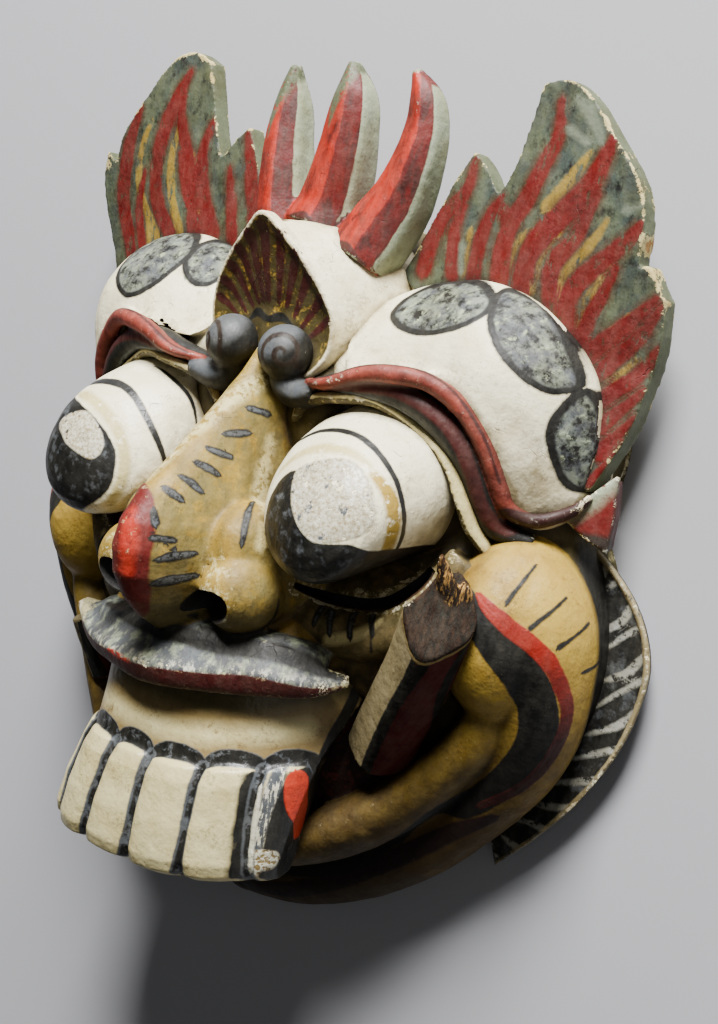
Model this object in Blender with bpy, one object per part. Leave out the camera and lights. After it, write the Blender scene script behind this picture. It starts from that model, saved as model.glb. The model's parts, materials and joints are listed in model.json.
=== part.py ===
"""A barong mask: one block of light wood, carved as a bulging-eyed face with a flame crown.

The mask lies on its open back. +Z comes out of the face, +Y runs to the crown and +X is the
mask's own left side. The rim of the hollow back lies in the plane Z = 0.
"""

import math

import bmesh
import bpy
import numpy as np
from mathutils import Matrix
from mathutils.bvhtree import BVHTree

# ---- driving sizes, in millimetres ----------------------------------------------------------
UNIT = 0.001  # metres in a millimetre
FINEST = 1.5  # side of the cells in which the carved forms are run together
FACES_LEFT = 7000  # triangles on the outside, before the back is hollowed
UNDERCUT = -10.0  # how far forms reach below the rim plane before they are cut off on it
THINNEST = 0.2  # the least half size of a limb's end

BLOCK_TOP = 44.0  # height of the plain block behind the features
RIM_WIDTH = 11.0  # flat band between the block's outline and the hollow
WALL = 8.5  # the thinnest that the carver left the wood anywhere behind the face
HOLLOW_DEPTH = 62.0
HOLLOW_SPOKES = 72

CROWN_FRONT = 30.8  # front face of the crown boards
CROWN_THICK = 7.5
CROWN_SWEEP = 11.0  # how far the outer flames curve back

LOBE_PEAK = 54.0  # height of the white forehead domes

EYE_AT = (47.0, 20.0)  # centre of an eye where it leaves the socket
EYE_RADIUS = 25.6
EYE_PEAK = 88.0

NOSE_PEAK = 109.0  # height of the nose's tip
WING_RADIUS = 12.5
NOSTRIL_WIDTH = 10.6  # half sizes of a nostril's mouth
NOSTRIL_HEIGHT = 6.0

LIP_PEAK = 84.0
TOOTH_PEAK = 84.0  # the front of the middle teeth
TOOTH_ROW_FALL = 26.0  # how much lower the row is at its ends
TOOTH_ROW_HALF = 49.0
TOOTH_TOP = -79.0
TOOTH_FOOT = -113.5
TOOTH_EDGES = (  # where each cut between teeth is, at the top and at the foot of the row
    (-46, -56), (-33, -42), (-14, -22), (2, -1), (22.4, 21.1), (38.2, 39.7), (48.8, 44.8),
)
TOOTH_CROWN = 3.0  # how far the middle of a tooth stands out from its edges
ROW_RISE = 8.0  # how much higher the left end of the row sits

TUSK_HALF = 9.6  # half the side of the square tusk
TUSK_FOOT, TUSK_TOP = (59, -64, 40), (86.5, -12, 61.5)
TUSK_FACE = (0.5, 0.35, 0.79)  # the way in which its broken end faces
DRAWN_BEYOND = 60.0  # the right cheek is drawn in beyond this far from the middle
DRAWN_SHARE = 0.16
DRAWN_BELOW = 50.0  # the drawing in begins below this height up the face
DRAWN_FADE = 40.0
RUFF_HEIGHT = 9.0
KNOB_RADIUS = 8.8
SLIT_WIDTH = 3.9  # the sight slot under each eye
SLIT_LEAN = (0.75, 0.16)  # the slot runs outward and up as it comes forward
SLIT_HEIGHT = 52.0  # height at which the slot follows its path
SHARP_DEGREES = 38.0  # edges that fold more than this keep a crisp line


# ---- forms: each is (points, faces), a closed skin -------------------------------------------
def curve_through(points, count, closed=False):
    """Points evenly numbered along a smooth curve through the given ones."""
    points = np.asarray(points, float)
    if closed:
        padded = np.vstack([points[-1:], points, points[:2]])
    else:
        padded = np.vstack([2 * points[0] - points[1], points, 2 * points[-1] - points[-2]])
    spans = len(padded) - 3
    found = []
    for step in np.linspace(0, spans, count, endpoint=not closed):
        i = min(int(step), spans - 1)
        t = step - i
        a, b, c, d = padded[i : i + 4]
        bend = (2 * a - 5 * b + 4 * c - d) * t**2 + (3 * b - a - 3 * c + d) * t**3
        found.append(0.5 * (2 * b + (c - a) * t + bend))
    return np.array(found)


def loft(rings, flat=False):
    """A skin through rings of equal length, closed by a fan at each end, or by one flat face."""
    rings = [np.asarray(ring, float) for ring in rings]
    side = len(rings[0])
    points = np.vstack(rings + [rings[0].mean(axis=0)[None], rings[-1].mean(axis=0)[None]])
    first, last = len(points) - 2, len(points) - 1
    faces = []
    for k in range(len(rings) - 1):
        for i in range(side):
            j = (i + 1) % side
            faces.append((k * side + i, k * side + j, (k + 1) * side + j, (k + 1) * side + i))
    if flat:
        top = (len(rings) - 1) * side
        return points[:-2], faces + [tuple(reversed(range(side))), tuple(range(top, top + side))]
    for i in range(side):
        j = (i + 1) % side
        faces.append((first, j, i))
        faces.append((last, (len(rings) - 1) * side + i, (len(rings) - 1) * side + j))
    return points, faces


def ball(centre, radii, sides=28, bands=14):
    """An ellipsoid."""
    turn = np.linspace(0, 2 * math.pi, sides, endpoint=False)
    rings = []
    for k in range(1, bands):
        polar = math.pi * (1 - k / bands)
        wide = math.sin(polar)
        ring = np.stack([np.cos(turn) * wide, np.sin(turn) * wide, 0 * turn + math.cos(polar)], 1)
        rings.append(ring * radii + centre)
    return loft(rings)


def sweep(path, across, along, count=28, sides=18, up=(0, 0, 1), power=1.0, profile=None):
    """A limb along a smooth path.

    across and along are its half sizes, at right angles to up and with it. Its section is an
    ellipse, squared or pinched by power, or else the profile.
    """
    spine = curve_through(path, count)
    across = curve_through(np.atleast_2d(across).T, count)[:, 0]
    along = curve_through(np.atleast_2d(along).T, count)[:, 0]
    ahead = np.gradient(spine, axis=0)
    ahead /= np.linalg.norm(ahead, axis=1)[:, None]
    aside = np.cross(ahead, up)
    aside /= np.linalg.norm(aside, axis=1)[:, None]
    upward = np.cross(aside, ahead)
    turn = np.linspace(0, 2 * math.pi, sides, endpoint=False)
    cosine = np.sign(np.cos(turn)) * np.abs(np.cos(turn)) ** power
    sine = np.sign(np.sin(turn)) * np.abs(np.sin(turn)) ** power
    if profile:
        cosine, sine = curve_through(profile, sides, closed=True).T
    rings = []
    for k in range(count):
        wide = np.outer(cosine * max(across[k], THINNEST), aside[k])
        rings.append(spine[k] + wide + np.outer(sine * max(along[k], THINNEST), upward[k]))
    return loft(rings)


def cushion(edge, peak, roundness=0.7, steps=8):
    """A dome inside a closed edge of (x, y, z) points, standing on the ground below that edge."""
    edge = np.asarray(edge, float)
    peak = np.asarray(peak, float)
    foot = edge * (1, 1, 0) + (0, 0, UNDERCUT)
    rings = [foot, edge]
    for k in range(1, steps):
        inward = k / steps
        lift = math.sin(inward * math.pi / 2) ** roundness
        ring = edge + (peak - edge) * inward
        ring[:, 2] = edge[:, 2] + (peak[2] - edge[:, 2]) * lift
        rings.append(ring)
    return loft(rings)


def mirrored(form):
    """The same form on the other side of the face."""
    points, faces = form
    return points * (-1, 1, 1), faces


def both(*forms):
    """Each form, and its mirror image."""
    return [form for one in forms for form in (one, mirrored(one))]


def skin_of(name, forms):
    """One object that holds all the forms, still as separate skins."""
    points = np.vstack([form[0] for form in forms])
    faces, start = [], 0
    for form in forms:
        faces += [tuple(start + corner for corner in face) for face in form[1]]
        start += len(form[0])
    mesh = bpy.data.meshes.new(name)
    mesh.from_pydata((points * UNIT).tolist(), [], faces)
    turned = bmesh.new()
    turned.from_mesh(mesh)
    bmesh.ops.recalc_face_normals(turned, faces=turned.faces[:])
    turned.to_mesh(mesh)
    turned.free()
    return add_object(name, mesh)


def add_object(name, mesh):
    """An object in the scene that holds the mesh."""
    made = bpy.data.objects.new(name, mesh)
    bpy.context.scene.collection.objects.link(made)
    return made


def half_outline(points):
    """A closed outline from the points on +X, from top to bottom, and their mirror image."""
    points = np.asarray(points, float)
    other = points[::-1] * (-1, 1)
    return np.vstack([points, other[np.abs(other[:, 0]) > 0.01]])


# ---- the face, form by form -----------------------------------------------------------------
HEAD_OUTLINE = (
    (0, 99), (14, 98), (24, 92), (33, 83), (44, 83), (56, 85), (68, 84), (82, 79), (94, 70),
    (101, 58), (104, 44), (103, 30), (102, 16), (108, 4), (113, -10), (115, -26), (113, -42),
    (107, -58), (96, -75), (80, -93), (62, -110), (42, -123), (24, -131), (0, -137),
)


def head_block():
    """The plain block behind the face: upright walls and a pillowed front, lower over the jaw."""
    outline = curve_through(half_outline(HEAD_OUTLINE), 120, closed=True)[::-1]
    centre = np.array([0.0, -12.0])
    rings = []
    for scale, height in (
        (1.0, UNDERCUT), (1.0, 12), (0.985, 19), (0.95, 25), (0.88, 31), (0.76, 37), (0.6, 41),
        (0.4, 43.5), (0.15, BLOCK_TOP),
    ):
        ring = centre + (outline - centre) * scale
        falling = np.interp(ring[:, 1], (-120, -30), (0.45, 1.0))
        rings.append(np.column_stack([ring, np.where(height > 0, height * falling, height)]))
    return [loft(rings)]


def crown_height(x, y):
    """Front face of the crown boards, whose outer flames curve back."""
    out = np.clip((np.abs(x) - 76) / 44, 0, 1)
    low = np.clip((128 - y) / 60, 0, 1)
    return CROWN_FRONT - CROWN_SWEEP * out * low


def board(outline):
    """A flat board cut to an outline, then bent to the crown's curve."""
    mesh = bmesh.new()
    rim = [mesh.verts.new((x, y, 0)) for x, y in outline]
    face = mesh.faces.new(rim)
    if face.normal.z < 0:
        face.normal_flip()
    raised = bmesh.ops.extrude_face_region(mesh, geom=[face])
    for made in raised["geom"]:
        if isinstance(made, bmesh.types.BMVert):
            made.co.z = 1
    bmesh.ops.reverse_faces(mesh, faces=[face])
    for place in range(-132, 156, 8):
        for spot, normal in (((place, 0, 0), (1, 0, 0)), ((0, place, 0), (0, 1, 0))):
            everything = mesh.verts[:] + mesh.edges[:] + mesh.faces[:]
            bmesh.ops.bisect_plane(mesh, geom=everything, plane_co=spot, plane_no=normal)
    bmesh.ops.recalc_face_normals(mesh, faces=mesh.faces[:])
    mesh.verts.index_update()
    points = np.array([vertex.co[:] for vertex in mesh.verts])
    faces = [tuple(corner.index for corner in face.verts) for face in mesh.faces]
    mesh.free()
    front = crown_height(points[:, 0], points[:, 1])
    points[:, 2] = front - CROWN_THICK * (1 - points[:, 2])
    return points, faces


def runs(*stretches):
    """An outline of smooth stretches that meet at corners."""
    return np.vstack([curve_through(stretch, 4 * len(stretch))[:-1] for stretch in stretches])


def crown():
    """A pair of flame boards. The left one has lost its third tip."""
    second = ((28, 84), (33, 94), (39, 108), (47, 124))
    notch = ((47, 124), (53, 119), (58.5, 111.5))
    right_notch = ((47, 124), (53, 118.5), (58, 112))
    inner = ((58.5, 111.5), (62.5, 120), (65.5, 133), (67.5, 146))
    top = ((67.5, 146), (77, 147.5), (86, 142.5), (94.5, 133.5), (103, 124), (107.5, 116), (109, 106))
    right_inner = ((58, 112), (61.5, 120), (66, 133), (70, 144.5))
    right_top = (
        (70, 144.5), (78, 147.5), (86, 145.5), (93, 139), (98.5, 131), (105, 123), (110.5, 115),
        (112.5, 108),
    )
    whole_tip = ((112.5, 108), (114, 107), (118, 110.5))
    whole_side = ((118, 110.5), (120, 100), (117.5, 88), (112, 76), (108, 64), (105, 50), (103, 34))
    broken_tip = ((109, 106), (108.5, 97), (112, 97), (115.5, 91.5), (118, 88))
    broken_side = ((118, 88), (118, 76), (116, 62), (113, 48), (109, 38), (105, 29))
    back = ((105, 29), (80, 30), (50, 60), (28, 84))
    right_back = ((103, 34), (80, 30), (50, 60), (28, 84))
    left = runs(second, notch, inner, top, broken_tip, broken_side, back)
    right = runs(second, right_notch, right_inner, right_top, whole_tip, whole_side, right_back)
    return [board(left), mirrored(board(right))]


LOBE_EDGE = (
    (26, 70, 42), (36, 79, 35), (50, 84, 33), (64, 85.5, 33), (81, 81, 33), (95, 71, 31),
    (103, 59, 28), (105.5, 45, 26), (104, 31, 25), (101, 21, 27), (94, 15, 31), (87, 19, 37),
    (84, 28, 43), (78, 39, 49), (66, 51, 56), (53, 55, 60), (42, 52, 61), (33, 52, 58), (27, 60, 50),
)


def lobes():
    """The domes of the forehead."""
    edge = curve_through(LOBE_EDGE, 64, closed=True)[::-1]
    return both(cushion(edge, (72, 57, LOBE_PEAK), 0.75))


def leaf_height(y):
    """The leaf's rim leans forward towards its tip."""
    return np.interp(y, (40, 56, 66, 80, 95), (59, 57, 58.5, 64, 71))


def bulb():
    """The cone between the leaf and the horns."""
    base = ((0, 96.5), (13, 95.5), (24, 90), (31, 80), (33, 66), (30, 54), (20, 44), (0, 40))
    rim = ((0, 92.5), (9, 87), (18, 79), (24, 70), (25.5, 62), (22, 52), (13, 44), (0, 41))
    base = curve_through(half_outline(base), 48, closed=True)[::-1]
    rim = curve_through(half_outline(rim), 48, closed=True)[::-1]
    rings = [np.column_stack([base, np.full(48, UNDERCUT)]), np.column_stack([base, np.full(48, 32.0)])]
    for t in (0.35, 0.7, 1.0):
        ring = base + (rim - base) * t
        rings.append(np.column_stack([ring, 32 + (leaf_height(ring[:, 1]) - 34) * t]))
    return [loft(rings)]


LEAF_OUTLINE = ((0, 95), (8, 89.5), (17, 80.5), (23.5, 71), (26, 62), (23, 51), (13, 43), (0, 40))


def leaf():
    """The dished almond over the brows."""
    outline = curve_through(half_outline(LEAF_OUTLINE), 56, closed=True)[::-1]
    centre = np.array([0.0, 64.0])
    rings = []
    for scale, depth in (
        (0.8, -13), (1.0, -5), (1.0, -0.8), (0.97, 0), (0.9, -0.5), (0.7, -2.6), (0.4, -3.8),
        (0.1, -4.2),
    ):
        ring = centre + (outline - centre) * scale
        rings.append(np.column_stack([ring, leaf_height(ring[:, 1]) + depth]))
    return [loft(rings)]


HORN_PATHS = (
    (
        (17, 85, 42), (21, 95, 39), (26, 106, 37), (30, 119, 37), (31, 130, 37), (29.5, 138.5, 38),
        (25.5, 145.5, 39),
    ),
    ((-19, 88, 38), (-21, 97, 37), (-23, 108, 37), (-24.5, 120, 37), (-25, 132, 37), (-24.5, 144.5, 38)),
    ((-3, 92, 41), (-1, 101, 38), (1.5, 113, 38.5), (3, 125, 39.5), (3, 136, 40), (1.5, 146.5, 40.5)),
)
HORN_PROFILE = (
    (0, -1), (0.9, -1), (1, -0.4), (1, 0.3), (0.6, 0.72), (0.1, 1), (-0.5, 0.72), (-1, 0.3), (-1, -0.4),
    (-0.9, -1),
)


def horns():
    """Three thorns, ridged in front and flat at the sides, whose feet stand proud of the cone."""
    wide = (
        (10.5, 10.6, 9.2, 7.4, 6, 4.4, 1.4), (9, 8.8, 8.2, 7.2, 5.6, 1.6), (11, 10.6, 9.4, 8.2, 6.4, 1.8),
    )
    deep = (
        (8.5, 9, 8.4, 7, 5.8, 4.4, 1.4), (9, 9, 8.4, 7.2, 5.6, 1.8), (9, 9.2, 8.6, 7.4, 6, 2.2),
    )
    return [
        sweep(path, wide[i], deep[i], 26, 20, profile=HORN_PROFILE) for i, path in enumerate(HORN_PATHS)
    ]


RIDGE_PATH = (
    (22, 46, 61), (29, 46, 64.5), (36, 47.5, 65.5), (44, 51, 65), (53, 53, 63.5), (65, 53, 59),
    (75, 47, 53), (82.5, 37, 48.5), (86.5, 25.5, 43), (88.5, 20, 39), (95, 18, 33), (103, 22.5, 27.5),
    (107, 28, 24.5),
)
BAND_PATH = (
    (24, 43.5, 57), (34, 46, 60), (44, 48, 59.5), (56, 47.5, 56.5), (68, 41.5, 51.5), (77, 31.5, 46.5),
    (81.5, 21, 42), (85, 13, 37), (94, 11, 31),
)


def brows():
    """The thin brow ridge, the lower band inside it, and the knobs that both roll into."""
    wide = (0.7, 1.7, 2.3, 2.7, 2.9, 2.9, 2.9, 2.9, 2.9, 2.8, 2.5, 1.8, 1)
    ridge = sweep(RIDGE_PATH, wide, (1.2, 2.4, 3, 3, 3, 3, 3, 3, 3, 3, 3, 2.4, 1.6), 44, 12)
    wide = (4.2, 4.5, 4.8, 4.8, 4.8, 4.6, 4.2, 3.6, 2.4)
    deep = (4.4, 4.8, 5.4, 5.4, 5.4, 5.2, 4.8, 4.4, 3.2)
    band = sweep(BAND_PATH, wide, deep, 34, 14)
    curl = ((11, 52, 58), (12, 44, 57), (18, 41, 58), (27, 43, 60))
    curl = sweep(curl, (6, 6, 5, 3.6), (7, 7, 6, 4.6), 16, 14)
    knob = ball((11.3, 53, 61), (KNOB_RADIUS,) * 3)
    return both(ridge, band, curl, knob, ball((31, 48, 34), (17, 15, 20)))


def eyeballs():
    """Bulging eyes: sagging cylinders with domed ends."""
    x, y = EYE_AT
    rings = []
    for aside, drop, height, radius in (
        (0, 1, 25, 1.0), (0, 0.5, 45, 1.0), (0, -2, 56, 0.99), (-0.4, -5, 65, 0.96),
        (0.2, -7.2, 71, 0.92), (1.2, -9.2, 76, 0.855), (2.2, -10.6, 80, 0.76), (3, -11.6, 83.6, 0.6),
        (3.6, -12.2, 86.2, 0.39), (4, -12.6, EYE_PEAK - 0.4, 0.16), (4, -12.6, EYE_PEAK, 0.03),
    ):
        turn = np.linspace(0, 2 * math.pi, 48, endpoint=False)
        ring = np.stack([np.cos(turn), np.sin(turn), -0.12 * np.sin(turn)], 1)
        rings.append(ring * radius * EYE_RADIUS + (x + aside, y + drop, height))
    return both(loft(rings))


SOCKET_PATH = (
    (17, 33, 56), (20, 38, 58), (28, 41.5, 60.5), (36, 43, 62), (48, 44, 58.5), (60, 39, 53),
    (71, 31, 49.5), (77, 20, 47), (80, 12, 43), (84, 6, 39),
)


def sockets():
    """The thin rims round the eyes."""
    wide = (1.4, 1.8, 2, 2, 2, 2, 2, 2, 2.2, 1.8)
    deep = (3, 3.4, 3.6, 3.6, 3.6, 3.6, 3.6, 3.6, 3.6, 3)
    return both(sweep(SOCKET_PATH, wide, deep, 44, 12))


def beds():
    """The ground that the eyes stand on."""
    x, y = EYE_AT
    return both(ball((x - 1, y + 2, 14), (36, 34, 44)), ball((20, 36, 26), (22, 26, 32)))


def bags():
    """Rolls of flesh under the eyes, and the swelling of the cheek beside them."""
    path = (
        (22, -19, 54), (31, -25, 54), (42, -28, 53), (54, -27.5, 51), (65, -21.5, 47),
        (73.5, -10, 44), (79, 2, 41),
    )
    roll = sweep(path, (6, 7.5, 8, 8, 8, 7.5, 6), (7, 8, 8, 8, 8, 8, 7), 30, 16)
    return both(roll, ball((44, -28, 22), (42, 32, 32)))


def nose():
    """A high ridge, drooping over the lip."""
    rings = []
    for y, half, top in (
        (54, 5, 60), (45, 8, 65.5), (32, 12, 76), (19, 15, 88.5), (6, 18.5, 101.5),
        (-4, 20.5, 107.5), (-12, 21, NOSE_PEAK), (-20, 20, 107), (-28, 17, 101), (-34, 13, 93), (-38, 8, 85),
    ):
        turn = np.linspace(0, 2 * math.pi, 32, endpoint=False)
        rise = np.sign(np.sin(turn)) * np.abs(np.sin(turn)) ** 1.25
        rings.append(np.stack([np.cos(turn) * half, 0 * turn + y, 44 + rise * (top - 44)], 1)[::-1])
    return [loft(rings)] + both(ball((16, -14, 58), (20, 22, 24)))


def wings():
    """The round wings of the nose, and the fold between them and the lip."""
    wing = ball((22.5, -20.5, 75), (WING_RADIUS, WING_RADIUS + 0.5, WING_RADIUS + 2))
    return both(wing, ball((18, -8, 71), (12, 15, 15)), ball((28, -36, 48), (21, 14, 19)))


LIP_PATH = (
    (-60, -45, 61), (-50, -48.5, 64), (-36, -50, 72), (-18, -49.5, 80),
    (0, -48.6, LIP_PEAK), (18, -46.2, 81), (35, -43, 75), (48, -43, 67), (57.5, -40.8, 60),
)
LIP_PROFILE = (
    (-1.5, -0.3), (-0.8, 0.3), (-0.12, 0.92), (0, 1), (0.14, 0.95), (0.6, 0.78), (1, 0.45),
    (0.95, -0.5), (0, -1), (-1, -1),
)


def upper_lip():
    """The upper lip, flat above and sharp along its rim, with the flesh behind it."""
    wide, deep = (1.5, 4.6, 5.2, 5.6, 6.6, 6.4, 7, 4.6, 1.4), (2, 4.5, 5, 5.5, 6, 5.5, 5, 4.2, 1.4)
    body = ((-50, -43, 54), (-36, -44, 64), (0, -41, 74), (36, -38, 66), (46, -38, 57))
    lip = sweep(LIP_PATH, wide, deep, 40, 24, profile=LIP_PROFILE)
    return [lip, sweep(body, (3, 5.5, 8, 6.5, 4), (4, 8, 10, 8, 4), 30, 16)]


def row_height(x, y):
    """How far forward the curved row of teeth stands. Its right side flares towards the foot."""
    flare = np.interp(-np.asarray(y, float), (70, 80, 90, 100, 112), (44, 45, 48.5, 53, 56))
    return TOOTH_PEAK - TOOTH_ROW_FALL * np.abs(x / np.where(x > 0, TOOTH_ROW_HALF, flare)) ** 3.4


def row_rise(x):
    """How much higher the row's left side sits."""
    return ROW_RISE * (np.maximum(x, 0) / TOOTH_ROW_HALF) ** 1.6


def gum():
    """The broad gum that carries the teeth."""
    rings = []
    for y, drop, right, left in (
        (-40, 8, 44, 53), (-49, 5, 44.5, 53), (-58, 4.5, 44.5, 51), (-66, 4, 44.5, 49), (-74, 3, 45, 47.6),
        (-81, 2.5, 46, 46.6), (-88, 5, 47, 45.6), (-100, 22, 42, 41),
    ):
        across = np.linspace(-right, left, 25)
        front = np.stack([across, 0 * across + y, row_height(across, y) - drop], 1)
        rings.append(np.vstack([front, ((left - 16, y, 24), (3 - right, y, 24))]))
    return [loft(rings)]


def tooth_edge(edge, y):
    """Where an edge of a tooth, given at its top and at its foot, is at that height."""
    share = (TOOTH_TOP - y) / (TOOTH_TOP - TOOTH_FOOT)
    return edge[0] + (edge[1] - edge[0]) * share


def teeth():
    """A curved row, each tooth crowned across and parted from the next by a cut."""
    made = []
    for left, right in zip(TOOTH_EDGES, TOOTH_EDGES[1:]):
        rings = []
        for y, drop, squeeze in (
            (TOOTH_TOP + 2, 5, 0.8), (TOOTH_TOP, 1.5, 0.94), (TOOTH_TOP - 5, 0, 1), (-98, -0.6, 1),
            (TOOTH_FOOT + 4, 0, 0.99), (TOOTH_FOOT, 1.5, 0.95), (TOOTH_FOOT - 1.5, 5, 0.86),
        ):
            first, last = tooth_edge(left, y), tooth_edge(right, y)
            middle, half = (first + last) / 2, (last - first) / 2 * squeeze - 0.1
            across = middle + np.linspace(-half, half, 9)
            up = y + row_rise(across)
            crowned = TOOTH_CROWN * (1 - np.linspace(-1, 1, 9) ** 4) - 1.2
            height = row_height(across, y)
            front = np.stack([across, up, height - drop + crowned], 1)
            inward = across - 0.8 * np.maximum(across - 40, 0)
            behind = np.stack([inward, up, height - 15], 1)[::-1]
            rings.append(np.vstack([front, behind]))
        made.append(loft(rings))
    return made


JAW_PATH = (
    (92, 3, 24), (99, -4, 27), (103, -15, 27), (104, -30, 24), (101, -46, 20), (93, -61, 17),
    (79, -78, 15), (62, -95, 15), (42, -109, 16), (20, -118, 17), (-3, -121, 18),
)
LOWER_LIP_PATH = (
    (80, -26, 34), (90, -34, 33), (90, -48, 31), (80, -63, 31), (66, -79, 33), (48, -94, 37),
    (26, -104, 40), (-3, -108, 41),
)


def cheeks():
    """Round cheeks that run down into the jaw."""
    wide = (9, 12, 14, 14, 14, 14, 14, 14, 14, 14, 14)
    cheek = sweep(JAW_PATH, wide, (12, 18, 20, 17, 15, 13, 12, 12, 12, 13, 13), 44, 18)
    return both(cheek, ball((91.5, -17, 26), (21, 30, 28)))


def lower_lip():
    """The thick lower lip inside the cheeks, and the floor of the mouth."""
    wide, deep = (6, 7, 8, 8, 9, 9, 9, 9), (6, 8, 9, 10, 11, 12, 12, 12)
    return both(sweep(LOWER_LIP_PATH, wide, deep, 36, 16)) + [ball((0, -66, 10), (74, 46, 40))]


def cut_aslant(limb, end, before):
    """The limb with its end face turned to TUSK_FACE, its skin moved along its own length."""
    points, faces = limb
    way = np.subtract(end, before) / np.linalg.norm(np.subtract(end, before))
    beyond = (points - end) @ TUSK_FACE / (way @ TUSK_FACE)
    moved = (beyond > 0) | ((points - end) @ way > -1.2)
    return points - np.outer(np.where(moved, beyond, 0), way), faces


def tusks():
    """The left tusk is a long stub, broken off aslant, and the other has snapped at the gum."""
    kept = (TUSK_FOOT, (68, -48, 47), (78, -30, 54), TUSK_TOP)
    lost = ((-60, -70, 38), (-65, -58, 43), (-68, -50, 46))
    lean = (-0.3, 0, 0.95)
    made = []
    for path in (kept, lost):
        half = [TUSK_HALF] * len(path)
        made.append(sweep(path, half, half, 14, 24, lean, 0.62))
    made[0] = cut_aslant(made[0], TUSK_TOP, kept[-2])
    return made


def splinter():
    """What still stands of the tusk's broken tip."""
    spike = ((85.5, -9, 57), (85.5, -4.5, 59), (85, 0.5, 61.5), (84.6, 5.5, 64))
    short = ((89, -9, 54), (89.5, -4.5, 56), (90, -1.5, 57))
    tall = sweep(spike, (4.4, 3.8, 2.5, 0.7), (2.8, 2.4, 1.8, 0.5), 10, 8)
    return [tall, sweep(short, (3.4, 2.6, 0.7), (2.6, 1.8, 0.5), 8, 8)]


RUFF_OUTER = (
    (94, 16), (102.5, 11), (111, 5.5), (120, -3), (126.5, -14), (128.5, -27), (124, -47), (114, -66),
    (102, -82), (89, -96),
)
RUFF_INNER = ((89, -96), (84, -84), (82, -76), (98, -62), (104, -40), (104, -20), (98, 0), (94, 16))
EAR_OUTLINE = ((99, 20), (104.5, 26.5), (109, 32), (112.5, 36), (113.8, 23), (113.5, 11.5), (106.5, 15))


def ruffs():
    """The striped crescents behind the cheeks, undercut, each with a point and a thin raised edge."""
    outline = np.vstack([curve_through(RUFF_OUTER, 40)[:-1], curve_through(RUFF_INNER, 26)[:-1]])[::-1]
    under = outline + (np.array((92, -30)) - outline) * 0.2
    levels = ((under, UNDERCUT), (under, 0.5), (outline, RUFF_HEIGHT - 3), (outline, RUFF_HEIGHT))
    rings = [np.column_stack([edge, np.full(len(edge), z)]) for edge, z in levels]
    edge = [(x, y, RUFF_HEIGHT) for x, y in RUFF_OUTER]
    wide = (0.9,) * 6 + (0.8, 0.7, 0.6, 0.4)
    deep = (1.1,) * 6 + (0.9, 0.7, 0.6, 0.4)
    return both(loft(rings, flat=True), sweep(edge, wide, deep, 40, 10))


def ears():
    """The small three-cornered ears behind the cheeks."""
    rings = []
    for depth, scale in ((-14, 0.45), (-7, 0.85), (-0.8, 1.0), (0, 0.93)):
        ring = np.array([104.0, 21.0]) + (np.array(EAR_OUTLINE) - (104, 21)) * scale
        rings.append(np.column_stack([ring, 25 - 0.42 * (ring[:, 0] - 104) + depth])[::-1])
    return both(loft(rings, flat=True))


def face_forms():
    """Every form of the outside, in the order in which a carver would rough them out."""
    return (
        head_block() + crown() + lobes() + bulb() + leaf() + horns() + brows() + eyeballs()
        + sockets() + beds() + bags() + nose() + wings() + upper_lip() + gum() + teeth()
        + cheeks() + lower_lip() + tusks() + splinter() + ruffs() + ears()
    )


# ---- the hollow back, the sight slots and the nostrils --------------------------------------
def depth_behind(face, x, y):
    """How high the gouge comes up behind the face at (x, y), leaving the wall whole round it."""
    height = 1.0
    for _ in range(30):
        room = face.find_nearest((x * UNIT, y * UNIT, height * UNIT))[3] / UNIT - WALL
        if room < 0.2:
            break
        height += room
    return min(height, HOLLOW_DEPTH)


def eased(heights):
    """The same heights with each one drawn half way to the mean of its neighbours round the ring."""
    return 0.5 * heights + 0.25 * (np.roll(heights, 1) + np.roll(heights, -1))


def hollow(face):
    """A bowl that follows the back of the face and leaves a flat rim."""
    outline = curve_through(half_outline(HEAD_OUTLINE), HOLLOW_SPOKES, closed=True)[::-1]
    centre = np.array([0.0, -14.0])
    reach = np.linalg.norm(outline - centre, axis=1)[:, None]
    inner = centre + (outline - centre) * (1 - RIM_WIDTH / reach)
    rings = [np.column_stack([inner, np.full(HOLLOW_SPOKES, 2 * UNDERCUT)])]
    for scale, steep in (
        (1.0, 2.0), (0.985, 12.0), (0.95, 19.0), (0.9, 26.0), (0.84, 33.0), (0.77, 40.0),
        (0.69, 47.0), (0.6, 54.0), (0.5, HOLLOW_DEPTH), (0.4, HOLLOW_DEPTH), (0.3, HOLLOW_DEPTH),
        (0.2, HOLLOW_DEPTH), (0.1, HOLLOW_DEPTH),
    ):
        ring = centre + (inner - centre) * scale
        most = np.array([depth_behind(face, x, y) for x, y in ring])
        deepest = np.minimum(most + 1.5, steep)
        rings.append(np.column_stack([ring, np.minimum(eased(eased(most)), deepest)]))
    return loft(rings)


SLIT_PATH = (
    (24, -18), (30.4, -19), (38.5, -19.3), (46.3, -18.7), (54.1, -17.7), (61.3, -15), (67.9, -10.1),
    (72.6, -5.3), (75, -1.5),
)


def slit(side):
    """A curved slot under the eye, tapered to both ends."""
    middle = curve_through(SLIT_PATH, 24)
    ahead = np.gradient(middle, axis=0)
    ahead /= np.linalg.norm(ahead, axis=1)[:, None]
    outward = np.stack([ahead[:, 1], -ahead[:, 0]], 1)
    rings = []
    for k, place in enumerate(middle):
        half = SLIT_WIDTH / 2 * (0.25 + 0.75 * math.sin(math.pi * (k + 1) / 25) ** 0.5)
        ring = []
        for height, way in ((26, -half), (26, half), (68, half), (68, -half)):
            spot = place + outward[k] * way + np.array(SLIT_LEAN) * (height - SLIT_HEIGHT)
            ring.append((spot[0] * side, spot[1], height))
        rings.append(ring)
    return loft(rings)


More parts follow.
